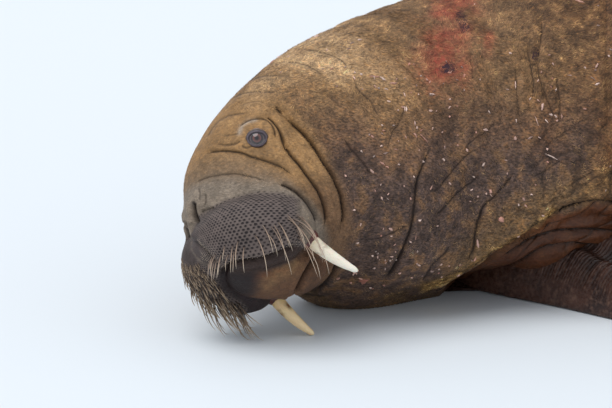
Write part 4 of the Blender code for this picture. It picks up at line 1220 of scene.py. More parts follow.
def make_tusk(side, label):
    """A tusk from its socket to its blunt tip, and the gum round it."""
    root, gum, tip = (head_point(place, side) for place in (TUSK_ROOT, TUSK_GUM, TUSK_TIP))
    tip = gum + (tip - gum) * TUSK_SHARES[side]
    up = head_direction((1, 0, 0))
    shares = np.concatenate([[-0.25, -0.1], np.linspace(0, 0.9, 40), np.linspace(0.91, 0.999, 16)])[:, None]
    body = np.maximum(shares, 0)
    line = np.where(shares < 0, gum + (gum - root) * shares * 4, gum + (tip - gum) * body)
    line = line + head_direction((1, 0, -0.3), side) * TUSK_BOW * 4 * body * (1 - body)
    share = shares[:, 0]
    widths = np.interp(share, [-0.25, 0, 0.18, 0.38, 0.58, 0.76, 0.9],
                       [1.0, 1.0, 0.96, 0.89, 0.78, 0.62, 0.44])
    tip_curve = np.sqrt(np.clip(1 - ((share - BLUNT_FROM) / (1 - BLUNT_FROM))**2, 0, 1))
    widths = np.where(share > BLUNT_FROM, 0.48 * tip_curve + 0.002, widths)
    points = carry_profile(line, widths * TUSK_RADIUS * 0.985, TUSK_COLUMNS, TUSK_SQUASH, up, 0.006)
    tusk = grid_mesh("tusk_ivory_" + label, points)
    full = 0 * points[..., 0]
    write_uv(tusk, "along_tusk", np.stack([shares + full, np.arange(TUSK_COLUMNS) / TUSK_COLUMNS + full], -1))
    stain = bell(np.linspace(0, 1, len(share))[:, None] - 0.25, 0.06) * (0.7 if side > 0 else 1.0)
    write_values(tusk, stain=stain + full)
    share = np.linspace(-0.08, 0.095, 14)
    swell = np.interp(share, [-0.08, 0.0, 0.04, 0.07, 0.095], [1.5, 1.42, 1.28, 1.12, 0.98])
    swell *= GUM_SHARES[side] * TUSK_RADIUS
    collar = carry_profile(gum + (tip - gum) * share[:, None], swell, TUSK_COLUMNS, TUSK_SQUASH, up, 0.02)
    return tusk, grid_mesh("gum_" + label, collar)


# %% Ivory and gum
def make_ivory(name, tint=None):
    """Ivory: cream, a little translucent, yellower at the root, with fine cracks along it."""
    material, add = start_material(name, Roughness=0.36, Subsurface_Weight=0.15, Subsurface_Scale=0.004,
                                   IOR=1.54)
    place = add("UVMap", uv_map="along_tusk")
    # Streaks 0.3 of the tusk long and 0.05 of a turn wide, and clouds 12 mm across
    drawn_out = add("Mapping", {"Vector": place, "Scale": (1 / 0.3, 1 / 0.05, 1 / 0.05)})
    streaks = add("TexNoise", {"Vector": drawn_out, "Scale": 1.0, "Detail": 3})
    cloud = add("TexNoise", {"Vector": add("TexCoord", out="Object"), "Scale": 1 / 0.012, "Detail": 3})
    along = add("ADD", add("SeparateXYZ", place), add("MapRange", cloud, 0.3, 0.7, -0.08, 0.08))
    cream = add("ValToRGB", along, stops=(
        (0.0, "8a5f3c"), (0.05, "e0cba4"), (0.22, "ece0c8"), (1.0, "efe6d4")))
    crack = add("MapRange", add("ABSOLUTE", add("SUBTRACT", streaks, 0.5)), 0.0, 0.02, 0.35, 0.0)
    colour = add("Mix", {0: crack, 6: cream, 7: "a88a62"}, data_type="RGBA", out=2)
    if tint:
        colour = add("VectorMath", colour, tint, operation="MULTIPLY")
    stain = add("Attribute", attribute_name="stain", out="Fac")
    stain = add("MULTIPLY", stain, add("MapRange", cloud, 0.40, 0.62))
    set_shader(material, Base_Color=add("Mix", {0: stain, 6: colour, 7: "7a4f26"}, data_type="RGBA", out=2),
               Normal=add("Bump", {"Height": streaks, "Distance": 0.0003, "Strength": 0.5}))
    return material


def make_gum():
    """Wet gum: dark red-brown flesh, a little translucent."""
    material, add = start_material("wet_gum", Roughness=0.3, Subsurface_Weight=0.1, Subsurface_Scale=0.003)
    mottle = add("TexNoise", {"Vector": add("TexCoord", out="Object"), "Scale": 1 / 0.003, "Detail": 3})
    share = add("MapRange", mottle, 0.3, 0.7)
    set_shader(material, Base_Color=add("Mix", {0: share, 6: "3a1c18", 7: "6e342a"}, data_type="RGBA", out=2),
               Normal=add("Bump", {"Height": mottle, "Distance": 0.0005, "Strength": 0.6}))
    return material


ivories = {1: make_ivory("tusk_ivory"), -1: make_ivory("yellowed_tusk_ivory", (1.08, 0.88, 0.60))}
gum = make_gum()
for side, label in SIDES:
    tusk, collar = make_tusk(side, label)
    add_piece(tusk, ivories[side], ["tusk_" + label], "ivory")
    add_piece(collar, gum, [], "lip")

# %% [markdown]
# ## Flippers
# Each flipper is a thick leather paddle with five digits hidden in it. The digits show as soft
# ridges that run to the rounded, notched end, and wrinkles bend round the wrist. One formula
# makes all four: a centre line on the floor with widths and heights along it, a flat-bottomed
# section, ridges that grow towards the end, and rings of wrinkles that fade out before it.

# %% Flippers and nails
FORE_LINE = [(0.310, -0.095), (0.400, -0.155), (0.470, -0.205),
             (0.560, -0.272), (0.700, -0.352), (0.845, -0.415)]
FORE_HALF_WIDTHS = [0.070, 0.075, 0.080, 0.088, 0.096, 0.078]
FORE_HEIGHTS = [0.125, 0.115, 0.085, 0.045, 0.010]
HIND_LINE = [(1.660, -0.066), (1.770, -0.095), (1.880, -0.125), (1.975, -0.150)]
HIND_HALF_WIDTHS = [0.044, 0.062, 0.086, 0.098]
HIND_HEIGHTS = [0.052, 0.036, 0.024, 0.010]
# The visible flippers start further inside the body than the solids, as wedges
FORE = ([(0.232, -0.030)] + FORE_LINE, [0.058] + FORE_HALF_WIDTHS, [0.060, 0.105] + FORE_HEIGHTS)
HIND = ([(1.530, -0.022), (1.600, -0.045)] + HIND_LINE, [0.006, 0.026] + HIND_HALF_WIDTHS,
        [0.030, 0.052] + HIND_HEIGHTS)
MIDDLE_REACH = 0.05
DIGIT_NOTCH = 0.028
DIGITS = 5
# Digit ridges lie where the cosine peaks: at even parts of the width
DIGIT_PLACES = (-0.8, -0.4, 0.0, 0.4, 0.8)
DOME_POWER = 0.42
AVERAGED = 6                        # the line is smoothed over this many of its places on each side
FLIPPER_ROWS, END_ROWS = 300, 30
OVER_COLUMNS, UNDER_COLUMNS = 110, 24
NAIL_ROWS, NAIL_COLUMNS = 14, 16
NAIL_LENGTH, NAIL_WIDTH, NAIL_HEIGHT = 0.011, 0.0042, 0.0034
NAIL_LIFT, NAIL_BEND = 0.0022, 0.001


def digit_ridge(across):
    """1 along the middle of each digit and 0 between them."""
    return 0.5 + 0.5 * np.cos(across * math.pi * DIGITS)


def flipper_place(shares, across, line, half_widths, heights, side):
    """Points of a flipper's top for shares along it and places -1 to 1 across it, and the rise."""
    table = smooth_line(np.column_stack([line, half_widths, heights]), 12)
    padded = np.pad(table, ((AVERAGED, AVERAGED), (0, 0)), mode="reflect", reflect_type="odd")
    table = np.mean([padded[i:i + len(table)] for i in range(2 * AVERAGED + 1)], axis=0)
    knots = np.linspace(0, 1, len(table))
    xs, ys, wide, tall = (np.interp(shares, knots, column) for column in table.T)
    step = unit(np.stack([np.interp(shares, knots, np.gradient(column)) for column in table.T[:2]], -1))
    tall = tall * (0.04 + 0.96 * smooth_step(shares / 0.16))
    digit = digit_ridge(across)
    reach = MIDDLE_REACH * shares**3 * (1 - 0.6 * across**2) - DIGIT_NOTCH * shares**8 * (1 - digit)
    x = xs + step[..., 1] * wide * across + step[..., 0] * reach
    y = ys - step[..., 0] * wide * across + step[..., 1] * reach
    if side < 0:
        y = 2 * spine_middle(x) - y
    return x, y, tall * (1 + 0.30 * shares**0.8 * (digit - 0.55))


def make_flipper(name, shape, side):
    """The whole flipper as a closed tube, a flat belly under a domed back."""
    shares = np.concatenate([np.linspace(0, 0.9, FLIPPER_ROWS - END_ROWS), np.linspace(0.904, 1, END_ROWS)])
    shares = shares[:, None]
    spin = np.concatenate([np.linspace(0, math.pi, OVER_COLUMNS, endpoint=False),
                           np.linspace(math.pi, 2 * math.pi, UNDER_COLUMNS, endpoint=False)])[None]
    across = np.cos(spin)
    x, y, rise = flipper_place(shares + 0 * spin, across + 0 * shares, *shape, side)
    dome = np.clip(1 - across**2, 0, 1)**DOME_POWER
    end = np.sqrt(np.clip(1 - ((shares - 0.96) / 0.04)**2, 0, 1)) * (shares > 0.96) + (shares <= 0.96)
    z = np.where(spin <= math.pi, 0.0025 + rise * dome * (0.25 + 0.75 * end), 0.0025 - 0.002 * dome)
    place = np.stack([x, y, z], -1)
    bend = shares + 0.05 * across + 0.10 * across**2 + 0.012 * value_noise(place, (0.06, 0.06, 0.5), 21)
    bend_place = np.stack([bend * 1.1, 0.12 * across + 0 * bend, 0 * bend], -1)
    wave = value_noise(bend_place, (0.020, 0.5, 1), 22)
    fine = value_noise(bend_place, (0.009, 0.2, 1), 23)
    crease = np.clip(1 - 2.2 * np.abs(wave), 0, 1) + 0.3 * np.clip(1 - 2.0 * np.abs(fine), 0, 1)
    strength = ramp(shares, 0.10, 0.14) * (1 - ramp(shares, 0.45, 0.3)) + 0.20
    top = (spin < math.pi) * smooth_step(dome * 1.6 - 0.2) * np.minimum(1, rise / 0.03)
    pressed = crease * strength * top
    place[..., 2] -= 0.0034 * pressed
    place[..., 2] += 0.0016 * value_noise(place, 0.03, 24) * top
    thing = grid_mesh(name, place)
    # The fold value is painted shade: in the creases, between the digits and at the root, where the flipper
    # goes under the body
    web = 0.28 * smooth_step(shares / 0.5 - 0.6) * (1 - digit_ridge(across)) * top
    write_values(thing, fold=np.clip(0.9 * pressed + web + 1 - ramp(shares, 0.05, 0.12), 0, 1), bend=bend,
                 ringed=top * ramp(shares, 0.20, 0.12) * (1 - ramp(shares, 0.55, 0.2)))
    return thing


def make_nails(name, shape, side, setback):
    """Five small claws set back from the ends of the digits, thick in the middle and bent down."""
    u, v = np.meshgrid(np.linspace(0, 1, NAIL_ROWS), full_turn(NAIL_COLUMNS), indexing="ij")
    width = np.sqrt(np.clip(1 - (2 * u**1.3 - 1)**2, 0.01, 1))
    claws = []
    for across in DIGIT_PLACES:
        here, further = (np.array(flipper_place(np.array(share), np.array(across), *shape, side))
                         for share in (setback, setback + 0.03))
        dome = (1 - across**2)**DOME_POWER
        here[2], further[2] = here[2] * dome, further[2] * dome
        step = unit(further - here)
        sideways = unit(np.cross(step, (0, 0, 1)))
        rise = np.cross(sideways, step)
        claws.append(here + np.array((0, 0, NAIL_LIFT)) + (u[..., None] * NAIL_LENGTH) * step
                     + (width * np.cos(v))[..., None] * NAIL_WIDTH * sideways
                     + (width * np.sin(v) * NAIL_HEIGHT - NAIL_BEND * u**2)[..., None] * rise)
    return grid_mesh(name, np.array(claws))


def make_flipper_leather():
    """Bare wet flipper skin: dark red-brown leather with paler patches, and painted shade in its wrinkles,
    its rings, between its digits and at its root.
    """
    material, add = start_material("bare_flipper_leather", Specular_IOR_Level=0.35)
    place = add("TexCoord", out="Object")
    patches, mottle, grain = (add("TexNoise", {"Vector": place, "Scale": 1 / size, "Detail": detail})
                              for size, detail in ((0.035, 3), (0.006, 3), (0.0018, 2)))
    fold, bend, ringed = (add("Attribute", attribute_name=name, out="Fac")
                          for name in ("fold", "bend", "ringed"))
    # Fine rings round the wrist, about 7 mm apart, broken up by noise and darkened with painted shade
    phase = add("ADD", add("MULTIPLY", bend, 620.0), add("MapRange", patches, 0.3, 0.7, -2.5, 2.5))
    ring = add("MULTIPLY", add("MapRange", add("SINE", phase), -0.2, 0.9),
               add("MULTIPLY", ringed, add("MapRange", mottle, 0.35, 0.6, 0.3, 1.0)))
    colour = "2d1b16"
    for share, over in ((add("MapRange", patches, 0.35, 0.65), "4a2e23"),
                        (add("MapRange", mottle, 0.5, 0.7, 0, 0.6), "6d5142"),
                        (add("MapRange", fold, 0.1, 0.9, 0, 0.7), "1a110e"),
                        (add("MULTIPLY", ring, 0.34), "160e0c")):
        colour = add("Mix", {0: share, 6: colour, 7: over}, data_type="RGBA", out=2)
    height = add("ADD", add("MULTIPLY", mottle, 0.8), add("MULTIPLY", grain, 0.6))
    height = add("SUBTRACT", height, ring)
    set_shader(material, Base_Color=colour, Roughness=add("MapRange", mottle, 0.3, 0.7, 0.20, 0.42),
               Normal=add("Bump", {"Height": height, "Distance": 0.0009, "Strength": 0.8}))
    return material


leather = make_flipper_leather()
nail = start_material("dark_claw_horn", Roughness=0.35, Base_Color="3a3029")[0]
for kind, shape, setback in (("fore", FORE, 0.90), ("hind", HIND, 0.86)):
    for side, label in SIDES:
        flipper = make_flipper(f"{kind}_flipper_skin_{label}", shape, side)
        add_piece(flipper, leather, [f"{kind}_flipper_{label}"], "flipper")
        add_piece(make_nails(f"{kind}_nails_{label}", shape, side, setback), nail, [], "flipper")

# %% [markdown]
# ## Whiskers
# A walrus has some four hundred stiff quills on its lip, thick as wire, in staggered rows. Each
# is a thin tapered tube of five sides along a bent line: it leaves the skin slanting outwards and
# droops. On this animal the upper rows of the near pad are worn to stubs and only its lower
# edge has long quills, while those of the far pad lie thick and flat along it.

# %% Roots and quills
QUILL_RADIUS = 0.0008
QUILL_STEPS, QUILL_SIDES = 8, 5
ROOT_ROWS, ROOT_COLUMNS = 27, 38
ROOT_REACH = 0.35                   # no root where the pattern's nearest point is further, in steps
ROOT_DEPTH = 0.0015
PATCH_SHADE = 0.45                  # a root needs a pit drawn at least this strongly


def pad_roots(side, rng):
    """Roots on the lattice of a pad: place, direction out of the skin, lattice place and four chances."""
    mine = (pits > PATCH_SHADE) & ((aside > 0) == (side > 0))
    spots, uv, out = points[mine], pattern[mine], skin_normals[mine]
    found = []
    for row in range(ROOT_ROWS):
        for column in range(ROOT_COLUMNS):
            wanted = np.array((column + 0.5 * (row % 2), row))
            gap = np.linalg.norm(uv - wanted, axis=1)
            near = np.argsort(gap)[:4]
            if gap[near[0]] > ROOT_REACH:
                continue
            share = 1 / (gap[near] + 0.02)
            share = (share / share.sum())[:, None]
            found.append(np.concatenate([(spots[near] * share).sum(0), unit((out[near] * share).sum(0)),
                                         wanted, rng.uniform(-1, 1, 4)]))
    return np.array(found)


def quill_lines(roots, out, start, finish, lengths):
    """Points of bent lines: the direction goes from start to finish along each length."""
    turn = np.linspace(0, 1, QUILL_STEPS)[None, :, None] ** 0.8
    direction = unit(start[:, None] * (1 - turn) + finish[:, None] * turn)
    steps = direction[:, :-1] * (lengths / (QUILL_STEPS - 1))[:, None, None]
    line = np.concatenate([roots[:, None], roots[:, None] + np.cumsum(steps, axis=1)], axis=1)
    line -= out[:, None] * ROOT_DEPTH
    line[..., 2] = np.maximum(line[..., 2], 0.003)
    return line


def quill_mesh(name, lines, radii):
    """Tapered tubes with five sides, closed at the tip, as one mesh."""
    count = len(lines)
    step = unit(np.gradient(lines, axis=1))
    aside_way = unit(np.cross(step, (0.31, 0.23, 0.92)))
    other = np.cross(step, aside_way)
    spin = full_turn(QUILL_SIDES)
    taper = np.interp(np.linspace(0, 1, QUILL_STEPS), [0, 0.3, 0.8, 1], [1, 0.95, 0.55, 0.12])
    ring = np.cos(spin)[:, None] * aside_way[:, :, None] + np.sin(spin)[:, None] * other[:, :, None]
    place = lines[:, :, None] + ring * (radii[:, None] * taper)[..., None, None]
    thing = grid_mesh(name, place)
    along = np.broadcast_to(np.linspace(0, 1, QUILL_STEPS)[None, :, None], place.shape[:-1])
    write_values(thing, along=along)
    strip = (np.arange(count)[:, None, None] + 0.1 + 0.8 * np.arange(QUILL_SIDES) / QUILL_SIDES) / count
    write_uv(thing, "OFBake", np.stack([strip + 0 * along, 0.01 + 0.98 * along], -1))
    return thing


def make_quill_material(name, dark, pale, tip):
    """Horn of a whisker: dark at the root, paler and slightly glassy towards the tip."""
    material, add = start_material(name, Roughness=0.38)
    along = add("Attribute", attribute_name="along", out="Fac")
    set_shader(material, Base_Color=add("ValToRGB", along, stops=((0.0, dark), (0.4, pale), (1.0, tip))))
    return material


# %% Whiskers
rng = np.random.default_rng(5)
near_roots, far_roots = pad_roots(1, rng), pad_roots(-1, rng)
print("roots on the pads", len(near_roots), len(far_roots))

place, out, site, luck = np.split(near_roots, (3, 6, 8), axis=1)
right, down_px = to_picture(place)
# Long quills hang from the lower edge, and from higher rows towards the tusk
edge = np.interp(right, (205, 230, 250, 262, 285, 296), (262, 240, 236, 218, 208, 206))
band = np.interp(right, (250, 285, 300), (13, 20, 36))
long = smooth_step((down_px - edge) / 5 + 0.5) * (1 - smooth_step((down_px - edge - band) / 4 + 0.5))
# One long quill stands out of every two columns by three rows of the lattice
cluster = np.floor(site[:, 0] / 2) * 100 + np.floor(site[:, 1] / 3)
order = np.lexsort((-luck[:, 0] * (long > 0.3), cluster))
first = np.unique(cluster[order], return_index=True)[1]
spared = np.zeros(len(place), bool)
spared[order[first]] = True
long *= spared * (right < 299)
length = long * np.interp(right, (200, 232, 262, 296), (0.016, 0.044, 0.058, 0.068))
length = 0.0032 + length * (1 + 0.32 * luck[:, 1])
slant = np.interp(right, (225, 245, 262, 296), (-0.12, 0.10, 0.50, 0.62))
start = 0.40 * out + np.stack([slant + 0.30 * luck[:, 2], -0.1 + 0 * slant, -0.70 + 0.25 * luck[:, 3]], -1)
finish = np.stack([0.25 * slant - 0.22 * luck[:, 2], -0.16 + 0.2 * luck[:, 3], -1 + 0 * slant], -1)
lines = quill_lines(place, out, start, finish, length)
thick = QUILL_RADIUS * (1 + 0.15 * luck[:, 3]) * (0.55 + 0.45 * long)
near_quills = quill_mesh("whiskers_left", lines, thick)

place, out, _, luck = np.split(far_roots, (3, 6, 8), axis=1)
right, down_px = to_picture(place)
bare_below = 214 + 0.62 * (down_px - 262)
kept = (right < bare_below) & (luck[:, 3] > -0.45)
place, out, luck, down_px = (values[kept] for values in (place, out, luck, down_px))
low = np.clip((down_px - 235) / 65, 0, 1)
length = 0.004 + (0.010 + 0.006 * luck[:, 1]) * low + (0.026 + 0.020 * luck[:, 0]) * low**3
length *= np.where(luck[:, 1] * luck[:, 2] > 0.25, 0.5, 1)
flow = np.stack([0.15 + 0.45 * low + 0.28 * luck[:, 2], -0.35 + 0.25 * luck[:, 0],
                 -0.80 + 0.2 * luck[:, 3]], -1)
lines = quill_lines(place, out, 0.80 * out + flow, flow - 0.10 * out + (0.18, 0, 0), length)
thick = QUILL_RADIUS * (1.1 + 0.2 * luck[:, 3]) * (0.6 + 0.5 * low)
far_quills = quill_mesh("whiskers_right", lines, thick)
add_piece(near_quills, make_quill_material("pale_whisker_horn", "4c3c33", "a88c76", "d6c2aa"), [], "pad")
add_piece(far_quills, make_quill_material("brown_whisker_horn", "2e241e", "5f4a37", "b39b7e"), [], "pad")

# %% [markdown]
# ## Scars
# Walruses spar with their tusks and haul out on rocks, so the neck and shoulders carry pale pink
# nicks where the hair is gone. Each is a small dome with a ragged rim, set on the skin and turned
# by its own angle. The larger ones stand where the picture has them, as places in the picture
# with a length and width in millimetres and a slant, and small ones are scattered beyond them.

# %% Scars
SCARS = [                           # right, down, length, width, slant in degrees
    (373, 137, 5, 3, 50), (416, 137, 9, 2.4, 60), (485, 131, 7, 5, 20), (514, 137, 6, 4.5, 80),
    (539, 137, 5, 3, 30), (468, 150, 5, 4, 10), (457, 136, 4, 2, 70), (373, 172, 8, 3.4, 50),
    (380, 184, 4, 2, 100), (388, 193, 6, 2.4, 120), (404, 185, 5, 3, 70), (431, 187, 8, 1.8, -50),
    (450, 184, 5, 2.4, 40), (483, 165, 8, 3.2, -60), (490, 193, 6, 5, 70), (552, 157, 24, 2.2, 25),
    (549, 162, 6, 2, 20), (530, 194, 4, 3, 0), (536, 184, 4, 2.4, 45), (500, 221, 11, 7, 40),
    (419, 221, 6, 3, -20), (411, 198, 4, 3, 80), (410, 242, 5, 3, 60), (438, 226, 4, 2, 0),
    (449, 265, 5, 2, 20), (460, 264, 4, 2, 0), (438, 272, 4, 3, 60), (478, 243, 13, 4, 85),
    (357, 243, 5, 3, 10), (354, 210, 6, 3, 0), (364, 281, 21, 13, 110), (354, 78, 10, 2.4, 75),
    (375, 76, 16, 2, -10), (392, 83, 12, 3.4, -15), (405, 95, 9, 1.8, 80), (388, 100, 6, 3, 20),
    (372, 137, 6, 4, 40), (415, 122, 8, 2, 100), (431, 110, 8, 4, 0), (464, 76, 7, 3.6, 90),
    (489, 113, 7, 2, 60), (485, 130, 7, 4, 10), (518, 121, 6, 2, 90), (515, 84, 16, 1.8, 88),
    (541, 107, 11, 4, 100), (536, 119, 18, 1.6, 70), (597, 85, 8, 3.4, -30), (586, 111, 6, 2, 0),
    (580, 3, 14, 2.4, 30), (561, 116, 9, 2, 88), (425, 140, 20, 1.4, 48), (399, 165, 4, 3, 0),
    (443, 160, 5, 3, 30), (506, 158, 5, 2, 10), (520, 204, 5, 3, 60), (470, 203, 5, 3, 10),
    (346, 176, 4, 2.6, 30), (362, 152, 4, 3, 60), (361, 225, 5, 2.4, 90), (395, 150, 5, 2, 10),
]
SCATTERED = 430
SCAR_SIDES, SCAR_LEVELS = 11, 3
DRAWN_LARGER = 1.25                 # the scars of the picture, over their measured size
RAW_SCAR = 30                       # the number of the one that is still raw


def skin_at_picture(places):
    """Grid numbers of the skin points, facing the camera, nearest to places in the picture."""
    right, down_px = to_picture(points)
    hidden = facing_camera(points, skin_normals) <= 0.25
    return np.array([np.argmin((right - u)**2 + (down_px - v)**2 + 1e6 * hidden) for u, v in places])


def add_scars():
    """Small ragged domes on the skin, as one mesh, and how far each skin point is from them."""
    rng = np.random.default_rng(17)
    table = np.array(SCARS)
    own = skin_at_picture(table[:, :2])
    share = (scarred * furry).ravel()
    chosen = np.concatenate([own, rng.choice(share.size, SCATTERED, p=share / share.sum())])
    # Half lengths and half widths in metres
    long = np.concatenate([table[:, 2] * DRAWN_LARGER, rng.gamma(3.0, 1.4, SCATTERED) + 2.0]) / 2000
    wide = np.concatenate([table[:, 3] * DRAWN_LARGER, rng.gamma(3.0, 0.6, SCATTERED) + 1.3]) / 2000
    slant = np.radians(np.concatenate([table[:, 4], rng.uniform(0, 180, SCATTERED)]))
    place, out = points.reshape(-1, 3)[chosen], skin_normals.reshape(-1, 3)[chosen]
    along = np.cos(slant)[:, None] * (1, 0, 0) - np.sin(slant)[:, None] * picture_up
    along = unit(along - out * (along * out).sum(1)[:, None])
    side = np.cross(out, along)
    spin = full_turn(SCAR_SIDES)
    ragged = rng.uniform(0.45, 1.3, (len(chosen), SCAR_SIDES))
    rings = []
    for level in range(SCAR_LEVELS):
        radius = 1 - level / SCAR_LEVELS
        rise = 0.0012 * (1 - radius**2) + 0.0007 - 0.0022 * (level == 0)
        rings.append(place[:, None] + out[:, None] * rise
                     + (np.cos(spin) * ragged * radius * long[:, None])[..., None] * along[:, None]
                     + (np.sin(spin) * ragged * radius * wide[:, None])[..., None] * side[:, None])
    thing = grid_mesh("scars", np.stack(rings, 1))
    luck = rng.uniform(0, 1, (len(chosen), 1))
    tint = linear("dcbfb0") * (1 - luck) + linear("b8806c") * luck
    tint *= rng.uniform(0.75, 1.2, (len(chosen), 1))
    dull = rng.uniform(0, 1, (len(chosen), 1)) > 0.75
    dull[:len(SCARS)] = False
    tint = np.where(dull, 0.35 * tint + 0.65 * linear("6f625c"), tint)
    tint[RAW_SCAR] = linear("9a5f4c")
    write_values(thing, marking=np.repeat(np.clip(tint, 0, 1), SCAR_LEVELS * SCAR_SIDES, axis=0))
    near = np.full(points.shape[:2], 2.0)
    for centre, reach in zip(place, np.maximum(long, wide)):
        near = np.minimum(near, np.linalg.norm(points - centre, axis=-1) / (reach + 0.003))
    return thing, near


def make_scar_material():
    """Healed bare skin: smooth, pale pink, a little moist."""
    material, add = start_material("healed_pink_skin", Roughness=0.45)
    mottle = add("TexNoise", {"Vector": add("TexCoord", out="Object"), "Scale": 1 / 0.0022, "Detail": 2})
    marking = add("Attribute", attribute_name="marking", out="Color")
    tone = add("MapRange", mottle, 0.3, 0.7, 0.7, 1.25)
    set_shader(material, Base_Color=add("VectorMath", marking, tone, operation="MULTIPLY"))
    return material


scars, scar_gap = add_scars()
add_piece(scars, make_scar_material(), [], "hide")
print("scars", len(SCARS) + SCATTERED)

# %% [markdown]
# ## The coat
# A walrus's hair is short, coarse and flat: about a centimetre on the body and a few millimetres
# on the face, where it looks like velvet. On this animal it is worn down to a few millimetres all
# over. Each blade here stands for a small tuft: a strip of three triangles that leaves the skin at
# a low angle, bends back along it and ends in a point. Blades are scattered over the skin by area,
# none on bare parts, and lie from the nose towards the tail with a slow random swirl. They wear
# the skin's colours, with its painted light and shade, some of them more golden, each darker at
# the root with painted shade and paler at the tip with a painted highlight, and darker along the
# wrinkles with painted shade.

# %% Blades of hair
HAIRS = 66000                       # in each piece of the coat
COAT_EDGES = (4.0, 5.6, 6.9, 8.1, 9.4)    # stations where one piece ends and the next starts
GOLD = linear("a07d4c")


def across_way(directions, out):
    """Directions made square to the skin, and the way across them."""
    directions = unit(directions - out * (directions * out).sum(1)[:, None])
    return directions, np.cross(out, directions)


def add_coat(name, first_row, last_row, seed):
    """Blades on the skin between two of its rows."""
    rng = np.random.default_rng(seed)
    sides = np.cross(points[1:] - points[:-1], np.roll(points, -1, 1)[:-1] - points[:-1])
    area = np.linalg.norm(sides, axis=-1) * furry[:-1] * hair_share[:-1]
    area[:first_row] = 0
    area[last_row:] = 0
    total = np.cumsum(area.ravel())
    i, j = np.unravel_index(np.searchsorted(total, rng.uniform(0, total[-1], HAIRS)), area.shape)
    a, b = rng.uniform(0, 1, (2, HAIRS))

    def read(values):
        """Values of the skin's grid at the blades' roots, blended between the four corners."""
        after = (j + 1) % columns
        down_share, share = (v.reshape(v.shape + (1,) * (values.ndim - 2)) for v in (a, b))
        above = values[i, j] * (1 - share) + values[i, after] * share
        below = values[i + 1, j] * (1 - share) + values[i + 1, after] * share
        return above * (1 - down_share) + below * down_share

    root, out, colour = read(points), unit(read(skin_normals)), read(hair_colours)
    long = read(hair_length) / 1000
    swirl = 0.35 * value_noise(root, 0.05, 31) + 0.30 * rng.normal(size=HAIRS)
    flow, across = across_way(read(tailward), out)
    flow = flow * np.cos(swirl)[:, None] + across * np.sin(swirl)[:, None]
    across = np.cross(out, flow)
    long = long * rng.uniform(0.7, 1.3, HAIRS)
    wide = np.minimum(0.00036, 0.055 * long) * rng.uniform(0.8, 1.4, HAIRS)
    clump = value_noise(root, 0.0065, 33) + 0.7 * value_noise(root, 0.013, 34)
    lift = 0.30 + 0.12 * rng.normal(size=HAIRS) + 0.14 * value_noise(root, 0.016, 32) + 0.10 * clump
    lift = np.clip(lift, 0.12, 0.8)
    middle = root + (flow * 0.5 + out * (0.5 * lift)[:, None]) * long[:, None]
    tip = root + (flow + out * (0.62 * lift)[:, None]) * long[:, None]
    half = across * wide[:, None]
    foot = root - out * 0.0006
    blade = np.stack([foot - half, foot + half, middle + half * 0.85, middle - half * 0.85, tip], 1)
    blade[..., 2] = np.maximum(blade[..., 2], 0.0008)
    first = np.arange(HAIRS)[:, None] * 5
    faces = np.concatenate([first + (0, 1, 2), first + (0, 2, 3), first + (3, 2, 4)], axis=1).reshape(-1, 3)

    mesh = bpy.data.meshes.new(name)
    mesh.vertices.add(HAIRS * 5)
    mesh.vertices.foreach_set("co", (blade.reshape(-1, 3) + SHIFT).astype(np.float32).ravel())
    mesh.loops.add(faces.size)
    mesh.loops.foreach_set("vertex_index", faces.astype(np.int32).ravel())
    mesh.polygons.add(len(faces))
    mesh.polygons.foreach_set("loop_start", np.arange(0, faces.size, 3, dtype=np.int32))
    mesh.update(calc_edges=True)
    mesh.shade_smooth()
    thing = put_in_scene(name, mesh)

    rough = read(rugged)
    golden = (rng.uniform(0, 1, HAIRS) + 0.7 * clump * rough < 0.15 + 0.2 * rough)[:, None]
    golden = golden * rng.uniform(0.15, 0.6, (HAIRS, 1))
    tint = colour * (1 - golden) + GOLD * (0.45 + 0.75 * colour.mean(1, keepdims=True) / GOLD.mean()) * golden
    # Blades along the wrinkles are darkened with painted shade
    wrinkle_shade = np.clip(1 - np.abs(read(slant_field)) / 0.20, 0, 1) * read(wrinkled)
    darker = (1.1 * clump + 0.15) * rough + 1.2 * wrinkle_shade
    tint = tint * np.exp(rng.normal(0, 0.28, (HAIRS, 1)) - darker[:, None])
    # Each blade is darker at its root, painted shade, and paler at its tip, painted highlight
    root_shade_tip_highlight = np.array((0.75, 0.75, 1.1, 1.1, 1.5))
    write_values(thing, marking=np.clip(tint[:, None] * root_shade_tip_highlight[:, None], 0, 0.9))
    patch = np.array([(-1, -1), (1, -1), (1, 0.3), (-1, 0.3), (0, 1)]) * 0.0015
    place = np.stack([0.01 + 0.98 * (j + b) / columns, 0.01 + 0.98 * (i + a) / (rows - 1)], -1)
    write_uv(thing, "OFBake", place[:, None] + patch)
    add_piece(thing, hair, [], "hide")


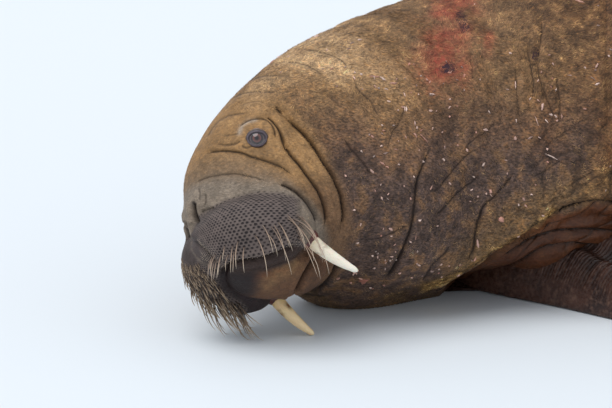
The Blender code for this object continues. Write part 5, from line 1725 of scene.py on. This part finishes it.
# %% The hair's length, share and colour over the skin
# Coarse flat hair with one roughness; each blade's colour is darker at the root, painted shade, and paler
# towards the tip, painted highlight
hair, add = start_material("flat_coarse_hair", Roughness=0.55, Specular_IOR_Level=0.25)
set_shader(hair, Base_Color=add("Attribute", attribute_name="marking", out="Color"))
tailward = -np.gradient(points, axis=0)
on_face = ramp(ahead, -0.02, 0.06) * ramp(station, 8.5, 1.5)
crown = ramp(height, 0.27, 0.10)
eyes_away = np.minimum(eye_gap(points, 1), eye_gap(points, -1))
hair_length = (3.4 + 1.2 * crown + 1.4 * rear + 1.6 * rim_light) * (1 - 0.35 * on_face)    # millimetres
hair_length = hair_length * (0.35 + 0.65 * ramp(eyes_away, 0.022, 0.03))
rugged = 0.40 + behind * (0.16 + 0.80 * ramp(height, 0.30, -0.15)) + 0.22 * rear
hair_share = 0.45 + 0.55 * np.maximum(crown, rear) + 0.8 * rim_light + on_face
hair_share *= ramp(eyes_away, 0.0235, 0.004) * ramp(scar_gap, 0.8, 0.5)
hair_share *= 0.45 + 0.55 * smooth_step(points[..., 2] / 0.03)
sore = 0.72 * smooth_step(graze * 1.15 - 0.1)
hair_colours = colours + (linear(RAW) - colours) * sore[..., None]
limits = [0, *np.searchsorted(stations, COAT_EDGES).tolist(), rows - 1]
for number, (first_row, last_row) in enumerate(zip(limits[:-1], limits[1:])):
    add_coat(f"coat_{number + 1}", first_row, last_row, 40 + number)

# %% [markdown]
# ## Floor, light and the hand-over
# The animal lies on a plain pale floor under soft light from the upper left, as under an
# overcast sky on ice. Each piece rides on the one body and replaces the solid that it stands
# for.

# %% Stage
HALF_FLOOR = 20.0
ground = bpy.data.meshes.new("floor")
ground.from_pydata([(x * HALF_FLOOR, y * HALF_FLOOR, 0) for x, y in ((-1, -1), (1, -1), (1, 1), (-1, 1))],
                   [], [(0, 1, 2, 3)])
floor = put_in_scene("floor", ground)
floor.data.materials.append(start_material("pale_studio_floor", Roughness=0.8, Base_Color="dfe3e6")[0])

sky = bpy.data.worlds.new("studio")
sky.use_nodes = True
fill_sockets(sky.node_tree, sky.node_tree.nodes["Background"].inputs, {"Color": "e6eef7", "Strength": 0.88})
bpy.context.scene.world = sky
lamp = bpy.data.lights.new("soft_sun", "SUN")
lamp.energy = 1.7
lamp.angle = math.radians(50)
sun = put_in_scene("soft_sun", lamp)
sun.rotation_euler = (math.radians(14), math.radians(-22), 0)
bpy.context.scene.view_settings.view_transform = "Standard"

# %% The hand-over
pieces.append((skin, ["head", "neck", "chest", "belly", "rump", "tail", "whisker_pad_left",
                      "whisker_pad_right", "lower_jaw"], "hide"))
for piece, nodes, slot in pieces:
    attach(piece, "root")
    if nodes:
        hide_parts(*nodes)
    print(piece.name, len(piece.data.polygons))
